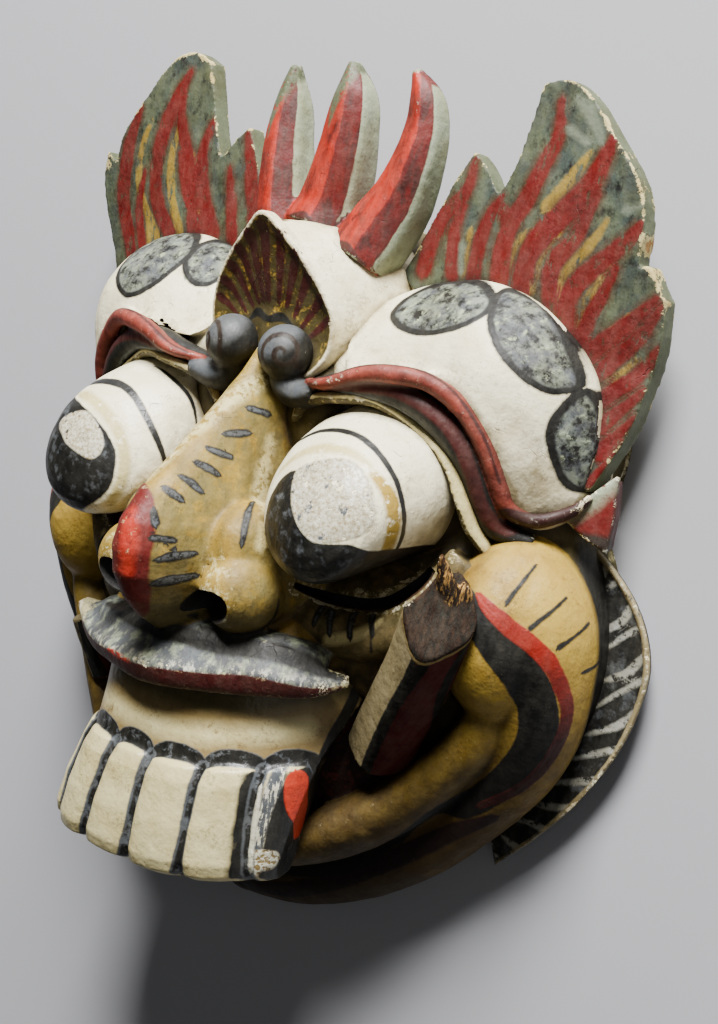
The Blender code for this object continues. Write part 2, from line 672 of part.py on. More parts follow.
def nostril(side):
    """A blind hole up into a wing of the nose."""
    path = ((20.6 * side, -31.4, 95), (18 * side, -27.2, 87), (14.5 * side, -22, 77.5))
    wide = (NOSTRIL_WIDTH, NOSTRIL_WIDTH - 0.2, 4)
    return sweep(path, wide, (NOSTRIL_HEIGHT, NOSTRIL_HEIGHT, 3.5), 10, 16)


# ---- putting the mask together --------------------------------------------------------------
def add_modifier(made, kind, **settings):
    """A modifier of that kind on the object."""
    modifier = made.modifiers.new(kind.title(), kind)
    for name, value in settings.items():
        setattr(modifier, name, value)
    return modifier


def settled(made, name):
    """A new object with the mesh that the modifiers give, in place of the old one."""
    graph = bpy.context.evaluated_depsgraph_get()
    mesh = bpy.data.meshes.new_from_object(made.evaluated_get(graph))
    bpy.data.objects.remove(made)
    return add_object(name, mesh)


def run_together(name, forms, cell, faces_left):
    """The forms as one closed skin, smoothed a little, with about the stated number of triangles."""
    made = skin_of(name, forms)
    add_modifier(made, "REMESH", mode="VOXEL", voxel_size=cell * UNIT, adaptivity=0.0)
    add_modifier(made, "SMOOTH", factor=0.5, iterations=2)
    made = settled(made, name)
    made.data.calc_loop_triangles()
    share = faces_left / len(made.data.loop_triangles)
    add_modifier(made, "DECIMATE", ratio=share)
    return settled(made, name)


def cut_on_rim(made):
    """Cuts the skin off level on the plane of the rim and closes it there."""
    mesh = bmesh.new()
    mesh.from_mesh(made.data)
    everything = mesh.verts[:] + mesh.edges[:] + mesh.faces[:]
    cut = bmesh.ops.bisect_plane(
        mesh, geom=everything, plane_co=(0, 0, 0), plane_no=(0, 0, 1), clear_inner=True
    )
    rim = [part for part in cut["geom_cut"] if isinstance(part, bmesh.types.BMEdge)]
    bmesh.ops.triangle_fill(mesh, edges=rim, use_beauty=True)
    bmesh.ops.recalc_face_normals(mesh, faces=mesh.faces[:])
    mesh.to_mesh(made.data)
    mesh.free()


def take_away(made, cutter):
    """Cuts one object out of another, and keeps the cutter out of renders."""
    cutter.hide_render = True
    cutter.display_type = "WIRE"
    modifier = add_modifier(made, "BOOLEAN", operation="DIFFERENCE", solver="EXACT", object=cutter)
    modifier.name = "Cut " + cutter.name


def painted_wood():
    """Cream ground paint on light wood, as the mask is seen from a distance."""
    material = bpy.data.materials.new("painted_wood")
    material.use_nodes = True
    shader = material.node_tree.nodes["Principled BSDF"]
    shader.inputs["Base Color"].default_value = (0.62, 0.52, 0.34, 1)
    shader.inputs["Roughness"].default_value = 0.55
    shader.inputs["Metallic"].default_value = 0.0
    return material


def draw_in_cheek(made):
    """Draws in the right cheek of an object, as its carver left it."""
    for vertex in made.data.vertices:
        out = max(-DRAWN_BEYOND * UNIT - vertex.co.x, 0.0)
        low = min(max((DRAWN_BELOW - vertex.co.y / UNIT) / DRAWN_FADE, 0.0), 1.0)
        vertex.co.x += out * DRAWN_SHARE * low * low * (3 - 2 * low)


def centre_on_origin(mask):
    """Moves the mask and its cutters so that the middle of the mask's box is over the origin."""
    corners = np.array([vertex.co[:] for vertex in mask.data.vertices])
    middle = (corners.min(axis=0) + corners.max(axis=0)) / 2
    for made in bpy.data.objects:
        made.data.transform(Matrix.Translation((-middle[0], -middle[1], 0)))


def build_mask():
    """The whole mask, with its cuts still on it as modifiers."""
    mask = run_together("mask", face_forms(), FINEST, FACES_LEFT)
    whole = bmesh.new()
    whole.from_mesh(mask.data)
    back = hollow(BVHTree.FromBMesh(whole))
    whole.free()
    cut_on_rim(mask)
    take_away(mask, skin_of("hollow", [back]))
    for side, word in ((1, "left"), (-1, "right")):
        take_away(mask, skin_of(f"{word}_slit", [slit(side)]))
        take_away(mask, skin_of(f"{word}_nostril", [nostril(side)]))
    mask.data.materials.append(painted_wood())
    mask.data.shade_smooth()
    mask.data.set_sharp_from_angle(angle=math.radians(SHARP_DEGREES))
    for made in bpy.data.objects:
        draw_in_cheek(made)
    centre_on_origin(mask)


def main():
    for old in list(bpy.data.objects):
        bpy.data.objects.remove(old)
    build_mask()


main()
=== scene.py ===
"""The painted barong mask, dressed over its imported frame, laid out as an add-on.

Lengths inside the carving functions are in millimetres in the carver's own axes: +Z out of the
face, +Y to the crown, +X the mask's own left, with the rim of the hollow back on Z = 0.
"""

import json
import math

import bmesh
import bpy
import numpy as np
from mathutils import Matrix, Vector, noise
from mathutils.bvhtree import BVHTree
from mathutils.kdtree import KDTree

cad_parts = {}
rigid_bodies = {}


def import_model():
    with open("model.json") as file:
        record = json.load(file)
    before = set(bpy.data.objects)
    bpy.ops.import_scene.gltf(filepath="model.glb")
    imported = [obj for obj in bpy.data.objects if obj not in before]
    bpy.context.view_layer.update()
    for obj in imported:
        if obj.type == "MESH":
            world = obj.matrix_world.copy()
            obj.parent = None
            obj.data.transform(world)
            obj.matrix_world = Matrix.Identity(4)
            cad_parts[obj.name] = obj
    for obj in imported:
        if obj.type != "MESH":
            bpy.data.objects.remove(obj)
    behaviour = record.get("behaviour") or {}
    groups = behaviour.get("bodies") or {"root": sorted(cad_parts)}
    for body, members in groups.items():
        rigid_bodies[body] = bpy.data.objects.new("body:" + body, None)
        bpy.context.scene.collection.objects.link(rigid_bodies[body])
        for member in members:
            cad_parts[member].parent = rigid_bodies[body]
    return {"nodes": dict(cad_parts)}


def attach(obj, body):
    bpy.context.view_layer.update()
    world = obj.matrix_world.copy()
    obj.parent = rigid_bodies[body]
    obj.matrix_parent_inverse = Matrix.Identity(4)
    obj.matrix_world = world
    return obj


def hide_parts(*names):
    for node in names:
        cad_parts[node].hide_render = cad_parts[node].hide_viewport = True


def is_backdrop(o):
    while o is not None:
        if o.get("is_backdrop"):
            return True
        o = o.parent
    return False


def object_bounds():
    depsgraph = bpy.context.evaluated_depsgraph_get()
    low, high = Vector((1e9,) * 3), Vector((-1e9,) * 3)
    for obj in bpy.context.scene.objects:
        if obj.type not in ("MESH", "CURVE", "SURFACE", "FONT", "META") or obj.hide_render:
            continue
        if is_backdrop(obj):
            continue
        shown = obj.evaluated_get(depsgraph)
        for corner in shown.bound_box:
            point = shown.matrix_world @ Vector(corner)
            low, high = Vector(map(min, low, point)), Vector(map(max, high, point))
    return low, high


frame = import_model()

bl_info = {
    "name": "Painted Barong Mask",
    "version": (1, 0, 0),
    "blender": (4, 5, 0),
    "location": "3D View > Sidebar > Mask",
    "description": "Carves and paints an old wooden barong mask, piece by piece, over its frame",
    "category": "Object",
}

CAD_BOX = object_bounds()
UNIT = 0.001  # metres in a millimetre
MIDDLE = (4.549, 5.24, 0.0)  # the middle of the mask's box in the carver's axes
DRAWN_BEYOND, DRAWN_SHARE = 60.0, 0.16  # the right cheek is narrower than the left by this share
DRAWN_BELOW, DRAWN_FADE = 50.0, 40.0
UNDERCUT = -10.0
BLOCK_TOP = 44.0
EYE_AT = (47.0, 20.0)
EYE_RADIUS = 25.6
EYE_PEAK = 88.0
SLIT_HEIGHT = 52.0
SLIT_LEAN = (0.75, 0.16)
TOOTH_ROW_HALF = 49.0
TOOTH_TOP = -79.0
TOOTH_FOOT = -113.5
TOOTH_EDGES = (
    (-46, -56), (-33, -42), (-14, -22), (2, -1), (22.4, 21.1), (38.2, 39.7), (48.8, 44.8),
)


# ---- forms: each is (points, faces), a closed skin -------------------------------------------
def curve_through(points, count, closed=False):
    """Points evenly numbered along a smooth curve through the given ones."""
    points = np.asarray(points, float)
    if closed:
        padded = np.vstack([points[-1:], points, points[:2]])
    else:
        padded = np.vstack([2 * points[0] - points[1], points, 2 * points[-1] - points[-2]])
    spans = len(padded) - 3
    found = []
    for step in np.linspace(0, spans, count, endpoint=not closed):
        i = min(int(step), spans - 1)
        t = step - i
        a, b, c, d = padded[i : i + 4]
        bend = (2 * a - 5 * b + 4 * c - d) * t**2 + (3 * b - a - 3 * c + d) * t**3
        found.append(0.5 * (2 * b + (c - a) * t + bend))
    return np.array(found)


def loft(rings, flat=False):
    """A skin through rings of equal length, closed by a fan at each end, or by one flat face."""
    rings = [np.asarray(ring, float) for ring in rings]
    side = len(rings[0])
    points = np.vstack(rings + [rings[0].mean(axis=0)[None], rings[-1].mean(axis=0)[None]])
    first, last = len(points) - 2, len(points) - 1
    faces = []
    for k in range(len(rings) - 1):
        for i in range(side):
            j = (i + 1) % side
            faces.append((k * side + i, k * side + j, (k + 1) * side + j, (k + 1) * side + i))
    if flat:
        top = (len(rings) - 1) * side
        return points[:-2], faces + [tuple(reversed(range(side))), tuple(range(top, top + side))]
    for i in range(side):
        j = (i + 1) % side
        faces.append((first, j, i))
        faces.append((last, (len(rings) - 1) * side + i, (len(rings) - 1) * side + j))
    return points, faces


def ball(centre, radii, sides=36, bands=18):
    """An ellipsoid."""
    turn = np.linspace(0, 2 * math.pi, sides, endpoint=False)
    rings = []
    for k in range(1, bands):
        polar = math.pi * (1 - k / bands)
        wide = math.sin(polar)
        ring = np.stack([np.cos(turn) * wide, np.sin(turn) * wide, 0 * turn + math.cos(polar)], 1)
        rings.append(ring * radii + centre)
    return loft(rings)


def sweep(path, across, along, count=36, sides=24, up=(0, 0, 1), power=1.0, profile=None):
    """A limb along a smooth path, with its half sizes at right angles to up and with it."""
    spine = curve_through(path, count)
    across = curve_through(np.atleast_2d(across).T, count)[:, 0]
    along = curve_through(np.atleast_2d(along).T, count)[:, 0]
    ahead = np.gradient(spine, axis=0)
    ahead /= np.linalg.norm(ahead, axis=1)[:, None]
    aside = np.cross(ahead, up)
    aside /= np.linalg.norm(aside, axis=1)[:, None]
    upward = np.cross(aside, ahead)
    turn = np.linspace(0, 2 * math.pi, sides, endpoint=False)
    cosine = np.sign(np.cos(turn)) * np.abs(np.cos(turn)) ** power
    sine = np.sign(np.sin(turn)) * np.abs(np.sin(turn)) ** power
    if profile:
        cosine, sine = curve_through(profile, sides, closed=True).T
    rings = []
    for k in range(count):
        wide = np.outer(cosine * max(across[k], 0.2), aside[k])
        rings.append(spine[k] + wide + np.outer(sine * max(along[k], 0.2), upward[k]))
    return loft(rings)


def cushion(edge, peak, foot, roundness=0.75, steps=10):
    """A dome inside a closed edge of (x, y, z) points, with its foot that far below the edge."""
    edge, peak = np.asarray(edge, float), np.asarray(peak, float)
    rings = [edge - (0, 0, foot), edge]
    for k in range(1, steps):
        inward = k / steps
        ring = edge + (peak - edge) * inward
        lift = math.sin(inward * math.pi / 2) ** roundness
        ring[:, 2] = edge[:, 2] + (peak[2] - edge[:, 2]) * lift
        rings.append(ring)
    return loft(rings)


def mirrored(form):
    """The same form on the other side of the face."""
    points, faces = form
    return points * (-1, 1, 1), faces


def both(*forms):
    """Each form, and its mirror image."""
    return [form for one in forms for form in (one, mirrored(one))]


def drawn_in(points):
    """The points in millimetres with the right cheek drawn in, as its carver left it."""
    low = np.clip((DRAWN_BELOW - points[:, 1]) / DRAWN_FADE, 0, 1)
    out = np.maximum(-DRAWN_BEYOND - points[:, 0], 0)
    points[:, 0] += out * DRAWN_SHARE * low * low * (3 - 2 * low)
    return points


def half_outline(points):
    """A closed outline from the points on +X, from top to bottom, and their mirror image."""
    points = np.asarray(points, float)
    left = points[::-1] * (-1, 1)
    return np.vstack([points, left[np.abs(left[:, 0]) > 0.01]])


HEAD_OUTLINE = (
    (0, 99), (14, 98), (24, 92), (33, 83), (44, 83), (56, 85), (68, 84), (82, 79), (94, 70),
    (101, 58), (104, 44), (103, 30), (102, 16), (108, 4), (113, -10), (115, -26), (113, -42),
    (107, -58), (96, -75), (80, -93), (62, -110), (42, -123), (24, -131), (0, -137),
)


def head_block():
    """The plain block behind the face: upright walls and a pillowed front, lower over the jaw."""
    outline = curve_through(half_outline(HEAD_OUTLINE), 120, closed=True)[::-1]
    centre = np.array([0.0, -12.0])
    rings = []
    for scale, height in (
        (1.0, UNDERCUT), (1.0, 12), (0.985, 19), (0.95, 25), (0.88, 31), (0.76, 37), (0.6, 41),
        (0.4, 43.5), (0.15, BLOCK_TOP),
    ):
        ring = centre + (outline - centre) * scale
        falling = np.interp(ring[:, 1], (-120, -30), (0.45, 1.0))
        rings.append(np.column_stack([ring, np.where(height > 0, height * falling, height)]))
    return [loft(rings)]


CROWN_FRONT = 30.8
CROWN_THICK = 7.5
CROWN_SWEEP = 11.0


def crown_height(x, y):
    """Front face of the crown boards, whose outer flames curve back."""
    out = np.clip((np.abs(x) - 76) / 44, 0, 1)
    low = np.clip((128 - y) / 60, 0, 1)
    return CROWN_FRONT - CROWN_SWEEP * out * low


def board(outline):
    """A flat board cut to an outline, then bent to the crown's curve."""
    mesh = bmesh.new()
    face = mesh.faces.new([mesh.verts.new((x, y, 0)) for x, y in outline])
    if face.normal.z < 0:
        face.normal_flip()
    raised = bmesh.ops.extrude_face_region(mesh, geom=[face])
    for made in raised["geom"]:
        if isinstance(made, bmesh.types.BMVert):
            made.co.z = 1
    bmesh.ops.reverse_faces(mesh, faces=[face])
    for place in range(-132, 156, 4):
        for spot, normal in (((place, 0, 0), (1, 0, 0)), ((0, place, 0), (0, 1, 0))):
            everything = mesh.verts[:] + mesh.edges[:] + mesh.faces[:]
            bmesh.ops.bisect_plane(mesh, geom=everything, plane_co=spot, plane_no=normal)
    mesh.verts.index_update()
    points = np.array([vertex.co[:] for vertex in mesh.verts])
    faces = [tuple(corner.index for corner in face.verts) for face in mesh.faces]
    mesh.free()
    front = crown_height(points[:, 0], points[:, 1])
    points[:, 2] = front - CROWN_THICK * (1 - points[:, 2])
    return points, faces


def runs(*stretches):
    """An outline of smooth stretches that meet at corners."""
    return np.vstack([curve_through(stretch, 4 * len(stretch))[:-1] for stretch in stretches])


def crown():
    """A pair of flame boards. The left one has lost its third tip."""
    second = ((28, 84), (33, 94), (39, 108), (47, 124))
    notch = ((47, 124), (53, 119), (58.5, 111.5))
    right_notch = ((47, 124), (53, 118.5), (58, 112))
    inner = ((58.5, 111.5), (62.5, 120), (65.5, 133), (67.5, 146))
    top = ((67.5, 146), (77, 147.5), (86, 142.5), (94.5, 133.5), (103, 124), (107.5, 116), (109, 106))
    right_inner = ((58, 112), (61.5, 120), (66, 133), (70, 144.5))
    right_top = (
        (70, 144.5), (78, 147.5), (86, 145.5), (93, 139), (98.5, 131), (105, 123), (110.5, 115),
        (112.5, 108),
    )
    whole_tip = ((112.5, 108), (114, 107), (118, 110.5))
    whole_side = ((118, 110.5), (120, 100), (117.5, 88), (112, 76), (108, 64), (105, 50), (103, 34))
    broken_tip = ((109, 106), (108.5, 97), (112, 97), (115.5, 91.5), (118, 88))
    broken_side = ((118, 88), (118, 76), (116, 62), (113, 48), (109, 38), (105, 29))
    back = ((105, 29), (80, 30), (50, 60), (28, 84))
    right_back = ((103, 34), (80, 30), (50, 60), (28, 84))
    left = runs(second, notch, inner, top, broken_tip, broken_side, back)
    right = runs(second, right_notch, right_inner, right_top, whole_tip, whole_side, right_back)
    return [board(left), mirrored(board(right))]


LOBE_EDGE = (
    (26, 70, 42), (36, 79, 35), (50, 84, 33), (64, 85.5, 33), (81, 81, 33), (95, 71, 31),
    (103, 59, 28), (105.5, 45, 26), (104, 31, 25), (101, 21, 27), (94, 15, 31), (87, 19, 37),
    (84, 28, 43), (78, 39, 49), (66, 51, 56), (53, 55, 60), (42, 52, 61), (33, 52, 58), (27, 60, 50),
)
LOBE_PEAK = (72, 57, 54)


def lobes():
    """The domes of the forehead."""
    return both(cushion(curve_through(LOBE_EDGE, 96, closed=True)[::-1], LOBE_PEAK, 16))


def leaf_height(y):
    """The leaf's rim leans forward towards its tip."""
    return np.interp(y, (40, 56, 66, 80, 95), (59, 57, 58.5, 64, 71))


def bulb():
    """The cone between the leaf and the horns."""
    base = ((0, 96.5), (13, 95.5), (24, 90), (31, 80), (33, 66), (30, 54), (20, 44), (0, 40))
    rim = ((0, 92.5), (9, 87), (18, 79), (24, 70), (25.5, 62), (22, 52), (13, 44), (0, 41))
    base = curve_through(half_outline(base), 48, closed=True)[::-1]
    rim = curve_through(half_outline(rim), 48, closed=True)[::-1]
    rings = [np.column_stack([base, np.full(48, 8.0)]), np.column_stack([base, np.full(48, 32.0)])]
    for t in (0.35, 0.7, 1.0):
        ring = base + (rim - base) * t
        rings.append(np.column_stack([ring, 32 + (leaf_height(ring[:, 1]) - 34) * t]))
    return [loft(rings)]


LEAF_OUTLINE = ((0, 95), (8, 89.5), (17, 80.5), (23.5, 71), (26, 62), (23, 51), (13, 43), (0, 40))


def leaf():
    """The dished almond over the brows."""
    outline = curve_through(half_outline(LEAF_OUTLINE), 72, closed=True)[::-1]
    centre = np.array([0.0, 64.0])
    rings = []
    for scale, depth in (
        (0.8, -13), (1.0, -5), (1.0, -0.8), (0.97, 0), (0.9, -0.5), (0.7, -2.6), (0.4, -3.8),
        (0.1, -4.2),
    ):
        ring = centre + (outline - centre) * scale
        rings.append(np.column_stack([ring, leaf_height(ring[:, 1]) + depth]))
    return [loft(rings)]


HORN_PATHS = (
    (
        (17, 85, 42), (21, 95, 39), (26, 106, 37), (30, 119, 37), (31, 130, 37), (29.5, 138.5, 38),
        (25.5, 145.5, 39),
    ),
    (
        (-19, 88, 38), (-21, 97, 37), (-23, 108, 37), (-24.5, 120, 37), (-25, 132, 37),
        (-24.5, 144.5, 38),
    ),
    ((-3, 92, 41), (-1, 101, 38), (1.5, 113, 38.5), (3, 125, 39.5), (3, 136, 40), (1.5, 146.5, 40.5)),
)
HORN_PROFILE = (
    (0, -1), (0.9, -1), (1, -0.4), (1, 0.3), (0.6, 0.72), (0.1, 1), (-0.5, 0.72), (-1, 0.3), (-1, -0.4),
    (-0.9, -1),
)


def horns():
    """Three thorns, ridged in front and flat at the sides, whose feet stand proud of the cone."""
    wide = (
        (10.5, 10.6, 9.2, 7.4, 6, 4.4, 1.4), (9, 8.8, 8.2, 7.2, 5.6, 1.6),
        (11, 10.6, 9.4, 8.2, 6.4, 1.8),
    )
    deep = (
        (8.5, 9, 8.4, 7, 5.8, 4.4, 1.4), (9, 9, 8.4, 7.2, 5.6, 1.8), (9, 9.2, 8.6, 7.4, 6, 2.2),
    )
    return [
        sweep(path, wide[i], deep[i], 40, 30, profile=HORN_PROFILE) for i, path in enumerate(HORN_PATHS)
    ]


RIDGE_PATH = (
    (22, 46, 61), (29, 46, 64.5), (36, 47.5, 65.5), (44, 51, 65), (53, 53, 63.5), (65, 53, 59),
    (75, 47, 53), (82.5, 37, 48.5), (86.5, 25.5, 43), (88.5, 20, 39), (95, 18, 33), (103, 22.5, 27.5),
    (107, 28, 24.5),
)
BAND_PATH = (
    (24, 43.5, 57), (34, 46, 60), (44, 48, 59.5), (56, 47.5, 56.5), (68, 41.5, 51.5), (77, 31.5, 46.5),
    (81.5, 21, 42), (85, 13, 37), (94, 11, 31),
)
KNOB_AT = (11.3, 53, 61)
KNOB_RADIUS = 8.8


def ridge():
    """The thin brow ridge, which starts in a point at the knob and runs out under the dome."""
    wide = (0.7, 1.7, 2.3, 2.7, 2.9, 2.9, 2.9, 2.9, 2.9, 2.8, 2.5, 1.8, 1)
    return both(sweep(RIDGE_PATH, wide, (1.2, 2.4, 3, 3, 3, 3, 3, 3, 3, 3, 3, 2.4, 1.6), 60, 20))


def band():
    """The groove and the lower band inside the ridge."""
    wide = (4.2, 4.5, 4.8, 4.8, 4.8, 4.6, 4.2, 3.6, 2.4)
    deep = (4.4, 4.8, 5.4, 5.4, 5.4, 5.2, 4.8, 4.4, 3.2)
    return both(sweep(BAND_PATH, wide, deep, 48, 20))


def filling():
    """The wood between the knobs, the leaf and the domes."""
    return both(ball((31, 48, 34), (17, 15, 20)))


def knobs():
    """The two round knobs over the nose, each with a curl."""
    path = ((11, 52, 58), (12, 44, 57), (18, 41, 58), (27, 43, 60))
    curl = sweep(path, (6, 6, 5, 3.6), (7, 7, 6, 4.6), 24, 20)
    return both(curl, ball(KNOB_AT, (KNOB_RADIUS,) * 3))


def eyeballs():
    """Bulging eyes: sagging cylinders with domed ends."""
    x, y = EYE_AT
    rings = []
    for aside, drop, height, radius in (
        (0, 1, 25, 1.0), (0, 0.5, 45, 1.0), (0, -2, 56, 0.99), (-0.4, -5, 65, 0.96),
        (0.2, -7.2, 71, 0.92), (1.2, -9.2, 76, 0.855), (2.2, -10.6, 80, 0.76), (3, -11.6, 83.6, 0.6),
        (3.6, -12.2, 86.2, 0.39), (4, -12.6, EYE_PEAK - 0.4, 0.16), (4, -12.6, EYE_PEAK, 0.03),
    ):
        turn = np.linspace(0, 2 * math.pi, 64, endpoint=False)
        ring = np.stack([np.cos(turn), np.sin(turn), -0.12 * np.sin(turn)], 1)
        rings.append(ring * radius * EYE_RADIUS + (x + aside, y + drop, height))
    return both(loft(rings))


SOCKET_PATH = (
    (17, 33, 56), (20, 38, 58), (28, 41.5, 60.5), (36, 43, 62), (48, 44, 58.5), (60, 39, 53),
    (71, 31, 49.5), (77, 20, 47), (80, 12, 43), (84, 6, 39),
)


def sockets():
    """The thin rims round the eyes."""
    wide = (1.4, 1.8, 2, 2, 2, 2, 2, 2, 2.2, 1.8)
    deep = (3, 3.4, 3.6, 3.6, 3.6, 3.6, 3.6, 3.6, 3.6, 3)
    return both(sweep(SOCKET_PATH, wide, deep, 60, 18))


def beds():
    """The ground that the eyes stand on."""
    x, y = EYE_AT
    return both(ball((x - 1, y + 2, 14), (36, 34, 44)), ball((20, 36, 26), (22, 26, 32)))


def bags():
    """Rolls of flesh under the eyes, and the swelling of the cheek beside them."""
    path = (
        (22, -19, 54), (31, -25, 54), (42, -28, 53), (54, -27.5, 51), (65, -21.5, 47),
        (73.5, -10, 44), (79, 2, 41),
    )
    roll = sweep(path, (6, 7.5, 8, 8, 8, 7.5, 6), (7, 8, 8, 8, 8, 8, 7), 36, 20)
    return both(roll, ball((44, -28, 22), (42, 32, 32)))


def nose():
    """A high ridge, drooping over the lip."""
    rings = []
    for y, half, top in (
        (54, 5, 60), (45, 8, 65.5), (32, 12, 76), (19, 15, 88.5), (6, 18.5, 101.5),
        (-4, 20.5, 107.5), (-12, 21, 109), (-20, 20, 107), (-28, 17, 101), (-34, 13, 93), (-38, 8, 85),
    ):
        turn = np.linspace(0, 2 * math.pi, 40, endpoint=False)
        rise = np.sign(np.sin(turn)) * np.abs(np.sin(turn)) ** 1.25
        rings.append(np.stack([np.cos(turn) * half, 0 * turn + y, 44 + rise * (top - 44)], 1)[::-1])
    return [loft(rings)] + both(ball((16, -14, 58), (20, 22, 24)))


def wings():
    """The round wings of the nose, and the fold between them and the lip."""
    wing, root = ball((22.5, -20.5, 75), (12.5, 13, 14.5)), ball((18, -8, 71), (12, 15, 15))
    return both(wing, root, ball((28, -36, 48), (21, 14, 19)))


LIP_PATH = (
    (-60, -45, 61), (-50, -48.5, 64), (-36, -50, 72), (-18, -49.5, 80), (0, -48.6, 84), (18, -46.2, 81),
    (35, -43, 75), (48, -43, 67), (57.5, -40.8, 60),
)
LIP_PROFILE = (
    (-1.5, -0.3), (-0.8, 0.3), (-0.12, 0.92), (0, 1), (0.14, 0.95), (0.6, 0.78), (1, 0.45),
    (0.95, -0.5), (0, -1), (-1, -1),
)


def upper_lip():
    """The upper lip, flat above and sharp along its rim, with the flesh behind it."""
    wide, deep = (1.5, 4.6, 5.2, 5.6, 6.6, 6.4, 7, 4.6, 1.4), (2, 4.5, 5, 5.5, 6, 5.5, 5, 4.2, 1.4)
    body = ((-50, -43, 54), (-36, -44, 64), (0, -41, 74), (36, -38, 66), (46, -38, 57))
    lip = sweep(LIP_PATH, wide, deep, 60, 30, profile=LIP_PROFILE)
    return [lip, sweep(body, (3, 5.5, 8, 6.5, 4), (4, 8, 10, 8, 4), 36, 20)]


def row_height(x, y):
    """How far forward the curved row of teeth stands. Its right side flares towards the foot."""
    flare = np.interp(-np.asarray(y, float), (70, 80, 90, 100, 112), (44, 45, 48.5, 53, 56))
    return 84 - 26 * np.abs(x / np.where(x > 0, TOOTH_ROW_HALF, flare)) ** 3.4


def row_rise(x):
    """How much higher the row's left side sits."""
    return 8 * (np.maximum(x, 0) / TOOTH_ROW_HALF) ** 1.6


def gum():
    """The broad gum that carries the teeth."""
    rings = []
    for y, drop, right, left in (
        (-40, 8, 44, 53), (-49, 5, 44.5, 53), (-58, 4.5, 44.5, 51), (-66, 4, 44.5, 49),
        (-74, 3, 45, 47.6),
        (-81, 2.5, 46, 46.6), (-88, 5, 47, 45.6), (-100, 22, 42, 41),
    ):
        across = np.linspace(-right, left, 33)
        front = np.stack([across, 0 * across + y, row_height(across, y) - drop], 1)
        rings.append(np.vstack([front, ((left - 16, y, 24), (3 - right, y, 24))]))
    return [loft(rings)]


def tooth_edge(edge, y):
    """Where an edge of a tooth, given at its top and at its foot, is at that height."""
    share = (TOOTH_TOP - y) / (TOOTH_TOP - TOOTH_FOOT)
    return edge[0] + (edge[1] - edge[0]) * share


def teeth():
    """A curved row, each tooth crowned across and parted from the next by a cut."""
    made = []
    for left, right in zip(TOOTH_EDGES, TOOTH_EDGES[1:]):
        rings = []
        for y, drop, squeeze in (
            (TOOTH_TOP + 2, 5, 0.8), (TOOTH_TOP, 1.5, 0.94), (TOOTH_TOP - 5, 0, 1), (-98, -0.6, 1),
            (TOOTH_FOOT + 4, 0, 0.99), (TOOTH_FOOT, 1.5, 0.95), (TOOTH_FOOT - 1.5, 5, 0.86),
        ):
            first, last = tooth_edge(left, y), tooth_edge(right, y)
            middle, half = (first + last) / 2, (last - first) / 2 * squeeze - 0.1
            across = middle + np.linspace(-half, half, 13)
            up = y + row_rise(across)
            crowned = 3.0 * (1 - np.linspace(-1, 1, 13) ** 4) - 1.2
            height = row_height(across, y)
            front = np.stack([across, up, height - drop + crowned], 1)
            inward = across - 0.8 * np.maximum(across - 40, 0)
            behind = np.stack([inward, up, height - 15], 1)[::-1]
            rings.append(np.vstack([front, behind]))
        made.append(loft(rings))
    return made


JAW_PATH = (
    (92, 3, 24), (99, -4, 27), (103, -15, 27), (104, -30, 24), (101, -46, 20), (93, -61, 17),
    (79, -78, 15), (62, -95, 15), (42, -109, 16), (20, -118, 17), (-3, -121, 18),
)
LOWER_LIP_PATH = (
    (80, -26, 34), (90, -34, 33), (90, -48, 31), (80, -63, 31), (66, -79, 33), (48, -94, 37),
    (26, -104, 40), (-3, -108, 41),
)


def cheeks():
    """Round cheeks that run down into the jaw."""
    wide = (9, 12, 14, 14, 14, 14, 14, 14, 14, 14, 14)
    cheek = sweep(JAW_PATH, wide, (12, 18, 20, 17, 15, 13, 12, 12, 12, 13, 13), 60, 28)
    return both(cheek, ball((91.5, -17, 26), (21, 30, 28)))


def lower_lip():
    """The thick lower lip inside the cheeks."""
    wide, deep = (6, 7, 8, 8, 9, 9, 9, 9), (6, 8, 9, 10, 11, 12, 12, 12)
    return both(sweep(LOWER_LIP_PATH, wide, deep, 44, 24))


TUSK_HALF = 9.6
TUSK_FOOT, TUSK_TOP = (59, -64, 40), (86.5, -12, 61.5)
TUSK_FACE = (0.5, 0.35, 0.79)


def cut_aslant(limb, end, before):
    """The limb with its end face turned to TUSK_FACE, its skin moved along its own length."""
    points, faces = limb
    way = np.subtract(end, before) / np.linalg.norm(np.subtract(end, before))
    beyond = (points - end) @ TUSK_FACE / (way @ TUSK_FACE)
    moved = (beyond > 0) | ((points - end) @ way > -1.2)
    return points - np.outer(np.where(moved, beyond, 0), way), faces


def tusks():
    """The left tusk is a long stub, broken off aslant, and the other has snapped at the gum."""
    kept = (TUSK_FOOT, (68, -48, 47), (78, -30, 54), TUSK_TOP)
    lost = ((-60, -70, 38), (-65, -58, 43), (-68, -50, 46))
    lean = (-0.3, 0, 0.95)
    made = []
    for path in (kept, lost):
        half = [TUSK_HALF] * len(path)
        made.append(sweep(path, half, half, 20, 32, lean, 0.62))
    made[0] = cut_aslant(made[0], TUSK_TOP, kept[-2])
    return made


def splinter():
    """What still stands of the tusk's broken tip."""
    spike = ((85.5, -9, 57), (85.5, -4.5, 59), (85, 0.5, 61.5), (84.6, 5.5, 64))
    short = ((89, -9, 54), (89.5, -4.5, 56), (90, -1.5, 57))
    tall = sweep(spike, (4.4, 3.8, 2.5, 0.7), (2.8, 2.4, 1.8, 0.5), 14, 12)
    return [tall, sweep(short, (3.4, 2.6, 0.7), (2.6, 1.8, 0.5), 10, 12)]


